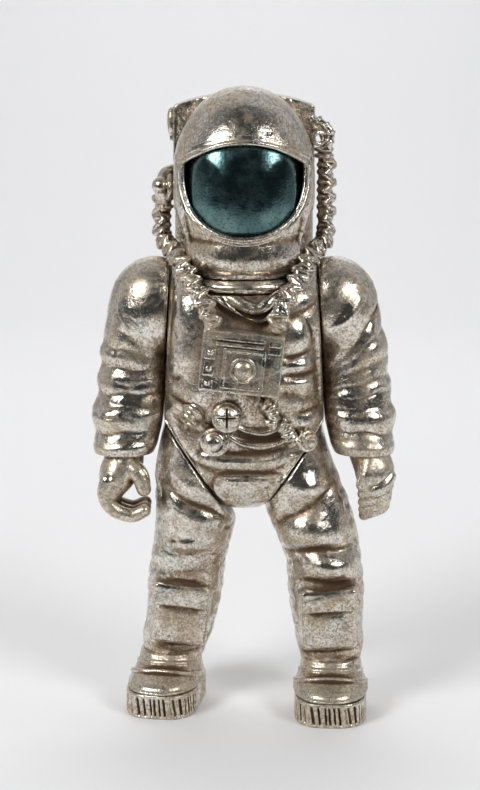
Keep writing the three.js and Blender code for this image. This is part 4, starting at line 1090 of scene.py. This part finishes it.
def make_leg(name, side):
    hip = joint_at(f"hip_{name}_swing")
    axis = hip_axis(name, side)
    low, high = span(f"trouser_leg_{name}")
    clay = Clay(low - (3, 8, 3), high + 3, cell=0.6)
    loft = Loft([(z, side * x, y, hx, hy) for z, x, y, hx, hy in LEG_ROWS[name]], power=2.1)
    clay.add(loft.shape(), 0)
    leg_folds(clay, loft, name, side)
    shin = side * abs(loft.at(46, 1))
    front = loft.at(50, 2) - loft.at(50, 4)
    shin_pocket(clay, shin, front, math.radians(-7 if name == "right" else 3))
    # painted shadow under the knee's overhang above the pocket, and painted shade at the hem over the boot
    # and down the inner side facing the other leg, mixed with umber
    for u, y, z, wide, tall, amount in (
        (0, front, 67, 15, 4, 1.1), (0, front + 4, 29, 15, 5, 0.9),
        (-17, 0, 84, 7, 26, 0.9), (-16, 0, 40, 6, 16, 0.5),
    ):
        clay.umber_and_shade_spot((shin + side * u, y, z), (wide, 12, tall), amount)
    clay.cut(puck(hip, axis, 6.5, 14), 0.3)
    clay.keep(half_space(hip + SWING_GAP / 2 * axis, -axis), 0.8)
    piece = clay.mesh(f"trouser_{name}")
    finish_piece(piece, f"leg_{name}", "suit", LEAF, f"trouser_leg_{name}", f"shin_pocket_{name}")


BOOT_TURN = {"left": -3, "right": 11}  # the toes turn out by these
BOOT_SHIFT = {"left": 0, "right": 1.2}  # outwards from the ankle
TOE, HEEL, BOOT_HALF = -37.0, 17.0, 18.0


def boot_frame(name, side):
    """A boot's place on the floor, and its own three axes as rows."""
    turn = math.radians(side * BOOT_TURN[name])
    ankle = LEG_ROWS[name][0]
    c, s = math.cos(turn), math.sin(turn)
    rows = np.array([[c, s, 0], [-s, c, 0], [0, 0, 1]])
    return np.array([side * (ankle[1] + BOOT_SHIFT[name]), ankle[2], 0]), rows


def boot_grid(clay, origin, rows):
    """A clay's grid in a boot's own axes."""
    x, y, z = clay.whole_grid()
    u = rows[0][0] * (x - origin[0]) + rows[0][1] * (y - origin[1])
    v = rows[1][0] * (x - origin[0]) + rows[1][1] * (y - origin[1])
    return u, v, z


def sole_outline(x, y, half, toe, heel):
    """Distance to a boot's outline: a rounded toe, a narrower waist and a heel."""
    t = np.clip((y - toe) / (heel - toe), 0, 1)
    wide = half * (1 - 0.05 * np.exp(-((t - 0.62) / 0.2) ** 2))
    middle = 0.5 * (toe + heel)
    deep = 0.5 * (heel - toe)
    u = np.abs(x) / wide
    v = np.abs(y - middle) / deep
    return ((u ** 3.2 + v ** 3.2) ** (1 / 3.2) - 1) * half


def make_sole(name, origin, rows):
    """A thick sole with uneven upright slits all round its edge."""
    low, high = span(f"boot_sole_{name}")
    clay = Clay(low - 3, high + 3, cell=0.42)
    u, v, z = boot_grid(clay, origin, rows)
    edge = sole_outline(u, v, BOOT_HALF - 0.4, TOE + 0.4, HEEL - 0.4)
    angle = np.arctan2(u, -(v + 10))
    angle = angle + 0.04 * np.sin(9 * angle) + 0.004 * (z - 6)
    teeth = np.cos(angle * 57) * 0.7 + 0.4 * np.cos(angle * 83 + 1.3) + 0.3 * np.sin(angle * 127)
    up = np.clip((z - 0.8) / 1.2, 0, 1) * np.clip((high[2] - 1.4 - z) / 1.2, 0, 1)
    side = edge + 1.1 * np.clip(teeth, 0, 0.8) * up
    clay.field = np.maximum(side, np.maximum(-z, z - high[2])).astype(np.float32)
    clay.keep(half_space((0, 0, high[2]), (0, 0, 1)), 1.0)
    finish_piece(clay.mesh(f"sole_{name}"), f"leg_{name}", "boots", LEAF_MATTE, f"boot_sole_{name}")


def make_upper(name, origin, rows):
    """A low toe that steps up to the ankle, with a welt and two straps over the instep."""
    low, high = span(f"boot_upper_{name}")
    clay = Clay(low - 3, high + 4, cell=0.42)
    u, v, z = boot_grid(clay, origin, rows)
    base = low[2]
    sections = [
        # height, then how far the toe, the heel and the sides draw in from the sole
        (0, 0.3, 0.3, 0.3), (2.5, 1.8, 0.6, 0.9), (4.6, 5.4, 1, 1.8), (6.2, 10, 1.2, 2.4),
        (8.0, 15.5, 1.6, 2.8), (10.5, 18.5, 2, 3.4), (13.4, 20, 2.2, 3.8),
    ]
    loft = Loft([
        (base + h, 0, (TOE + a + HEEL - b) / 2, BOOT_HALF - c, (HEEL - b - (TOE + a)) / 2)
        for h, a, b, c in sections
    ], power=2.4)
    clay.field = loft.shape()[2](u, v, z).astype(np.float32)

    def place(u, v, z):
        spot = origin + rows.T @ np.array([u, v, 0])
        return [spot[0], spot[1], z]

    def around(reach, step, height, drop=0.0, lift=0.0):
        """A line round the toe, from one side to the other, that drops towards the heel."""
        return [
            place(*loft.point(a, base + height - drop * (abs(a) / 90) ** 2.2, lift))
            for a in range(-reach, reach + 1, step)
        ]

    clay.rope(around(110, 5, 0.6), 0.7, 0.5)
    clay.fold(around(110, 5, 2.0), 0.7, 0.5)
    clay.rope(around(92, 4, 7.4, 4.6, 0.2), 1.1, 0.6)
    clay.fold(around(88, 4, 5.6, 4.2), 0.8, 0.5)
    clay.rope(around(92, 4, 10.2, 3.4, -0.2), 0.8, 0.8)
    clay.umber_and_shade_spot(place(0, -24, base + 6), (12, 8, 5), 0.7)
    clay.umber_and_shade_spot(place(0, -14, base + 9), (20, 10, 4), -2.2)
    finish_piece(clay.mesh(f"upper_{name}"), f"leg_{name}", "boots", LEAF_MATTE, f"boot_upper_{name}")


def make_boot(name, side):
    origin, rows = boot_frame(name, side)
    make_sole(name, origin, rows)
    make_upper(name, origin, rows)


# ---------------------------------------------------------------- pack
def upright_frame(half, low, high, y):
    """A closed upright rectangle facing back."""
    corners = ((-half, low), (half, low), (half, high), (-half, high), (-half, low))
    return [[x, y, z] for x, z in corners]


def helmet_room(middle, radius, half):
    """The round room that the pack leaves for the helmet to turn in."""
    return puck((NECK[0], NECK[1], middle), (0, 0, 1), radius, half, 2)


def make_backpack():
    low, high = span("pack_tray")
    back = span("pack_cover")[1][1]
    half = high[0]
    clay = Clay(low - 1, (high[0] + 1, back + 1, high[2] + 1), cell=0.6)
    middle = np.array([0, (low[1] + back) / 2, (low[2] + high[2]) / 2])
    deep = (back - low[1]) / 2
    clay.add(block(middle, (half, deep, (high[2] - low[2]) / 2), 5), 0)
    for z in np.linspace(low[2] + 22, high[2] - 22, 3):
        clay.crease([[x, back, z] for x in (-half + 6, half - 6)], 1.2, 0.8)
    clay.crease(upright_frame(half - 6, low[2] + 7, high[2] - 7, back), 1.3, 1.0)
    split = low[1] + 0.55 * (back - low[1])
    clay.crease(upright_frame(half, low[2], high[2], split), 0.8, 0.9)
    clay.cut(helmet_room(252, 34.2, 42), 0.5)
    finish_piece(clay.mesh("pack_skin"), "trunk", "pack", LEAF, "pack_tray", "pack_cover")


def make_oxygen_unit():
    """A box with an arched top, behind the helmet."""
    half = span("pack_tray")[1][0]
    low, high = span("oxygen_unit")
    clay = Clay(low - 1, high + 1.5, cell=0.55)
    x, y, z = clay.whole_grid()
    arch = high[2] + 0.4 - 5.4 * (np.abs(x) / half) ** 2.6
    body = np.maximum(np.abs(x) - half - 0.6, np.maximum(z - arch, low[2] - z))
    depth = np.abs(y - (low[1] + high[1]) / 2) - (high[1] - low[1]) / 2
    clay.field = np.maximum(body, depth).astype(np.float32)
    rounded = block((low + high) / 2, (high - low) / 2 + (0.8, 0, 1.0), 2.2)
    clay.keep(rounded, 1.0)
    clay.cut(helmet_room(270, 34.0, 40), 0.5)
    finish_piece(clay.mesh("oxygen_skin"), "trunk", "pack", LEAF, "oxygen_unit")


def make_latch():
    low, high = span("pack_latch")
    clay = Clay(low - 2, high + 2, cell=0.4)
    middle = (low + high) / 2 + (0.6, 0, 0)
    clay.add(ball(middle + (0, -1, 1.5), (2.4, 4.4, 6.8), 2.6), 0)
    clay.add(block(middle + (0.4, 0, -3), (1.6, 3.6, 4.6), 0.9), 0.5)
    clay.fold([middle + (-2.4, y, -1.2) for y in (-5, 0, 5)], 0.8, 0.8)
    finish_piece(clay.mesh("latch_skin"), "trunk", "fittings", LEAF_WORN, "pack_latch")


# ---------------------------------------------------------------- hoses, chest box, connectors
HOSE_OUT = 38.6  # where the hoses run down beside the helmet
HOSE_OVER = 224.8  # the height where they turn over the shoulder


def hose_path(name, side):
    """From its elbow down beside the helmet, over the shoulder and down to the chest box."""
    start = span(f"chest_hose_{name}")[1][2]
    points = [
        (HOSE_OUT, 13.2, start), (HOSE_OUT, 12.7, 0.5 * (start + HOSE_OVER) + 3),
        (HOSE_OUT - 0.6, 7.2, HOSE_OVER + 4), (33.0, -3.2, HOSE_OVER - 1.0),
        (28.4, -18.0, 217.5), (23.4, -30.4, 210.0), (18.8, CHEST_FRONT - 4.6, 203.0),
        (15.6, CHEST_FRONT - 7.6, 197.5), (14.6, CHEST_FRONT - 8.4, 192.6),
    ]
    return spline([(side * x, y, z) for x, y, z in points], 90)


def make_hose(name, side):
    """A ribbed hose with a serpentine rib that runs down its outer side."""
    path = hose_path(name, side)
    clay = Clay(path.min(0) - 9, path.max(0) + 9, cell=0.42)
    clay.rope(path, 3.3, 0)
    length = np.r_[0, np.cumsum(np.linalg.norm(np.diff(path, axis=0), axis=1))]
    rib = []
    for k, s in enumerate(np.arange(1.2, length[-1], 1.05)):
        i = min(np.searchsorted(length, s), len(path) - 2)
        along = path[i + 1] - path[i]
        along = along / np.linalg.norm(along)
        upright = np.clip((path[i][2] - 216) / 10, 0, 1)
        out = upright * np.array([0.75 * side, -0.66, 0]) + (1 - upright) * np.array([0, -0.8, 0.6])
        out = out - along * (out @ along)
        out = out / np.linalg.norm(out)
        across = np.cross(along, out)
        swing = math.sin(2 * math.pi * s / 7.4 + 0.5 * math.sin(0.31 * s))
        rib.append(path[i] + 3.9 * across * swing + out * (3.5 - 1.1 * swing * swing))
        if k % 4 == 0:
            clay.add(hoop(path[i], along + 0.45 * across, 3.1, 1.1), 0.5)
    clay.rope(rib, 1.35, 0.3)
    finish_piece(clay.mesh(f"hose_{name}"), "trunk", "hoses", LEAF_WORN, f"chest_hose_{name}")
    make_elbow(name, side)


def make_elbow(name, side):
    """The fitting at a hose's upper end, each side with its own."""
    low, high = span(f"hose_elbow_{name}")
    clay = Clay(low - 8, high + 8, cell=0.42)
    start = high[2] - 15
    elbow = spline([
        (side * HOSE_OUT, 13.2, start + 1), (side * 38.8, 13.8, start + 5.5),
        (side * 37.2, 17.2, start + 9.4), (side * 33.8, 22.4, start + 10.4),
    ], 14)
    clay.rope(elbow, 3.3 if name == "right" else 2.3, 0)
    if name == "right":
        clay.add(ball((-39.4, 6.5, start + 4.6), 4.3), 0.5)
        clay.rope([(-38.4, 8, start + 1), (-37.2, 10, start - 8)], [4.0, 2.6], 0.8)
        clay.add(hoop((-35.0, 8.0, start + 3.6), (1, 0, 0), 5.2, 1.3), 0.4)
        clay.add(hoop((-35.0, 8.0, start + 3.6), (1, 0, 0), 2.6, 1.3), 0.4)
        for drop in (1.5, 5.5):
            clay.add(hoop((-37.8, 9.4, start - drop), (0, 0, 1), 3.6, 0.9), 0.4)
    else:
        loop = spline([
            (31.5, 12, start + 16), (36, 9, start + 14.5), (40.6, 8, start + 10),
            (39.8, 8.4, start + 4), (37.6, 10, start),
        ], 20)
        clay.rope(loop, np.linspace(1.5, 2.4, 20), 0.6)
        for i in range(1, 19, 3):
            clay.add(hoop(loop[i], loop[i + 1] - loop[i - 1], 1.9, 0.7), 0.3)
        clay.add(hoop((35.2, 5.4, start + 7), (0.3, -1, 0), 2.7, 1.1), 0.3)
        for drop in (0.5, 3.5):
            clay.add(hoop((38.0, 11, start - drop + 2), (0, 0, 1), 3.6, 1.1), 0.4)
    finish_piece(clay.mesh(f"elbow_{name}"), "trunk", "fittings", LEAF_WORN, f"hose_elbow_{name}")


def make_waist_hose():
    """A short hose that wanders down from the chest box to the waist connector."""
    places = [
        (4.2, 158), (11.2, 155), (13.8, 150.6), (12.7, 146.4), (18.6, 144.2),
        (20.8, 139.8), (23.6, 136.4), (28.0, 138.2), (31.5, 136.2),
    ]
    path = spline([TRUNK.front(x, z, 2.8) for x, z in places], 80)
    clay = Clay(path.min(0) - 6, path.max(0) + 6, cell=0.4)
    clay.rope(path, 2.4, 0)
    for i in range(2, 78, 5):
        along = path[i + 1] - path[i]
        clay.add(hoop(path[i], along, 2.6, 1.2), 0.3)
    finish_piece(clay.mesh("waist_hose_skin"), "trunk", "hoses", LEAF_WORN, "waist_hose")


def make_connector(node, centre, axis, radius, style):
    """A round fitting: domed with a cross or a ring pressed in it, or a ringed barrel."""
    centre = np.array(centre, float)
    axis = np.array(axis, float) / np.linalg.norm(axis)
    clay = Clay(centre - 10, centre + 10, cell=0.35)
    clay.add(puck(centre, axis, radius, 3.2, 0.7), 0)
    clay.add(hoop(centre - axis * 0.6, axis, radius + 0.5, 1.0), 0.4)
    rows = frame_of(axis)
    if style != "barrel":
        clay.add(ball(centre + axis * 1.6, radius * np.array([0.92, 0.55, 0.92])), 0.5)
    if style == "cross":
        for way in (rows[0], rows[2]):
            tip = centre + axis * 4.2
            clay.cut(block(tip, np.abs(way) * radius + (0.4, 1.2, 0.4), 0.1), 0.3)
    if style == "flat":
        turn = np.linspace(0, 6.3, 24)[:, None]
        ring = rows[0] * np.cos(turn) + rows[2] * np.sin(turn)
        clay.crease(centre + axis * 3.2 + radius * 0.62 * ring, 0.5, 0.5)
    if style == "barrel":
        for k in (-3.5, 0.5, 4.5):
            clay.add(hoop(centre + axis * k * 0.8, axis, radius - 0.4, 1.0), 0.4)
    finish_piece(clay.mesh(f"{node}_skin"), "trunk", "fittings", LEAF_WORN, node)


def make_chest_box():
    """A box worn slightly askew, with a framed dial, two bars, a block and three switches."""
    low, high = span("chest_box")
    front = low[1]
    centre = np.array([-1.2, front + 5.5, (low[2] + high[2]) / 2])
    rows = turned(math.radians(-6))

    def at(u, w, out=0.0):
        spot = centre + rows.T @ np.array([u, 0, w])
        return np.array([spot[0], front - out, spot[2]])

    clay = Clay(low - 4, high + (4, 8, 4), cell=0.35)
    clay.add(block(centre + np.array([0, 2.5, 0]), (18.6, 8, 14.2), 1.0, rows), 0)
    corners = [(-18, 14), (18, 14), (18, -14), (-18, -14), (-18, 14)]
    for a, b in zip(corners[:-1], corners[1:]):
        clay.crease([at(*a), at(*b)], 0.7, -0.5)
    finish_piece(clay.mesh("box_housing"), "trunk", "fittings", LEAF_MATTE, "chest_box")

    def fitting():
        return Clay(low - 6, (high[0] + 4, low[1] + 4, high[2] + 4), cell=0.32)

    def fit(clay, name, node):
        finish_piece(clay.mesh(name), "trunk", "fittings", LEAF_WORN, node)

    def slab(u, w, out, half, corner):
        return block(at(u, w, out), half, corner, rows)

    panel = fitting().add(slab(1, -2.4, 0.4, (9.8, 1.3, 9.4), 0.4), 0)
    fit(panel.cut(slab(1, -2.4, 1.8, (8.2, 0.7, 7.8), 0.2), 0.2), "box_panel", "chest_box_panel")

    dial = fitting().add(puck(at(1, -2.4, 1.0), (0, 1, 0), 6.1, 1.5, 0.4), 0)
    dial.cut(puck(at(1, -2.4, 2.6), (0, 1, 0), 5.0, 1.0, 0.2), 0.2)
    fit(dial.add(ball(at(1, -2.4, 0.8), (4.1, 2.2, 4.1)), 0.2), "box_dial", "chest_box_dial")

    bars = fitting().add(slab(-1.5, 11.2, 0.6, (11.4, 1.3, 0.9), 0.5), 0)
    fit(bars.add(slab(-1.5, 8.6, 0.7, (11.0, 1.4, 0.9), 0.5), 0.2), "box_bars", "chest_box_bar")

    pair = fitting().add(slab(14.4, 10.6, 0.5, (2.9, 1.2, 1.5), 0.4), 0)
    fit(pair.add(slab(14.4, 7.0, 0.4, (2.9, 1.0, 1.4), 0.4), 0.2), "box_block", "chest_box_block")

    for i, w in enumerate((3.4, -4.2, -10.8), 1):
        switch = fitting().add(slab(-14.6, w, 0.4, (2.5, 1.1, 2.5), 0.5), 0)
        switch.add(ball(at(-14.6, w + 1.0, 1.4), (1.3, 0.9, 1.0)), 0.3)
        fit(switch, f"box_switch_{i}", f"chest_box_switch_{i}")


# ---------------------------------------------------------------- stage, lights and camera
def make_stage():
    """A pale sweep: floor, a wide bend and a back wall."""
    front, flat, bend, tall, half = -0.45, 1.2, 0.5, 1.6, 2.4
    profile = [(front, 0.0), (flat, 0.0)]
    for a in np.linspace(0.15, math.pi / 2, 10):
        profile.append((flat + bend * math.sin(a), bend - bend * math.cos(a)))
    profile.append((flat + bend, tall))
    vertices = [(x, y, z) for x in (-half, half) for y, z in profile]
    n = len(profile)
    faces = [(k, k + 1, n + k + 1, n + k) for k in range(n - 1)]
    mesh = bpy.data.meshes.new("sweep")
    mesh.from_pydata(vertices, [], faces)
    mesh.polygons.foreach_set("use_smooth", np.ones(len(mesh.polygons), bool))
    sweep = bpy.data.objects.new("sweep", mesh)
    bpy.context.scene.collection.objects.link(sweep)
    material, _, _, shader = node_tree("paper")
    shader.inputs["Base Color"].default_value = (0.86, 0.86, 0.87, 1)
    shader.inputs["Roughness"].default_value = 0.7
    mesh.materials.append(material)


def add_light(name, place, target, size, power):
    data = bpy.data.lights.new(name, "AREA")
    data.shape = "SQUARE"
    data.size = size
    data.energy = power
    light = bpy.data.objects.new(name, data)
    light.location = place
    light.rotation_euler = (Vector(target) - Vector(place)).to_track_quat("-Z", "Y").to_euler()
    bpy.context.scene.collection.objects.link(light)
    return light


def make_world():
    """A dim room in front of the set and pale walls behind it."""
    world = bpy.data.worlds.new("room")
    bpy.context.scene.world = world
    world.use_nodes = True
    nodes, links = world.node_tree.nodes, world.node_tree.links
    background = nodes["Background"]
    place = nodes.new("ShaderNodeTexCoord")
    parts = nodes.new("ShaderNodeSeparateXYZ")
    links.new(place.outputs["Generated"], parts.inputs[0])
    back = nodes.new("ShaderNodeMapRange")
    back.interpolation_type = "SMOOTHSTEP"
    back.inputs["From Min"].default_value = -0.3
    back.inputs["From Max"].default_value = 0.25
    back.inputs["To Min"].default_value = 0.04
    back.inputs["To Max"].default_value = 0.5
    links.new(parts.outputs["Y"], back.inputs["Value"])
    links.new(back.outputs["Result"], background.inputs["Color"])


def make_camera():
    """A long lens that looks slightly down; its shift centres the figure."""
    data = bpy.data.cameras.new("camera")
    data.sensor_width = 36
    data.lens = 87.22
    data.shift_x = -0.00506
    camera = bpy.data.objects.new("camera", data)
    camera.location = (0, -0.9018, 0.330)
    camera.rotation_euler = (math.radians(90 - 11.09), 0, 0)
    bpy.context.scene.collection.objects.link(camera)
    bpy.context.scene.camera = camera


make_helmet()
make_bezel()
make_visor()
make_neck_ring()
make_trunk()
for side_name, side_sign in SIDES.items():
    make_arm(side_name, side_sign)
    make_glove(side_name, side_sign)
    make_leg(side_name, side_sign)
    make_boot(side_name, side_sign)
    make_hose(side_name, side_sign)
make_backpack()
make_oxygen_unit()
make_latch()
make_waist_hose()
make_connector("connector_upper", (-7.9, CHEST_FRONT - 0.6, 149.2), (0, -1, 0.1), 5.7, "cross")
make_connector("connector_lower", (-13.8, CHEST_FRONT + 2.2, 136.8), (-0.15, -1, 0), 5.4, "flat")
make_connector("connector_side", (-24.0, CHEST_FRONT + 6, 149.4), (-0.6, -0.5, -0.7), 4.6, "barrel")
make_connector("connector_waist", (30.0, CHEST_FRONT + 6.5, 136.5), (0.55, -1, 0), 3.8, "flat")
make_chest_box()
make_stage()
add_light("soft_left", (-1.0, -0.93, 1.02), (0, 0, 0.18), 0.6, 15)
add_light("soft_right", (1.0, -0.93, 1.02), (0, 0, 0.18), 0.55, 10)
backdrop = add_light("backdrop", (0, 0.8, 1.5), (0, 1.6, 0.35), 0.9, 13.5)
backdrop.visible_glossy = False
make_world()
make_camera()
bpy.context.scene.view_settings.view_transform = "Standard"
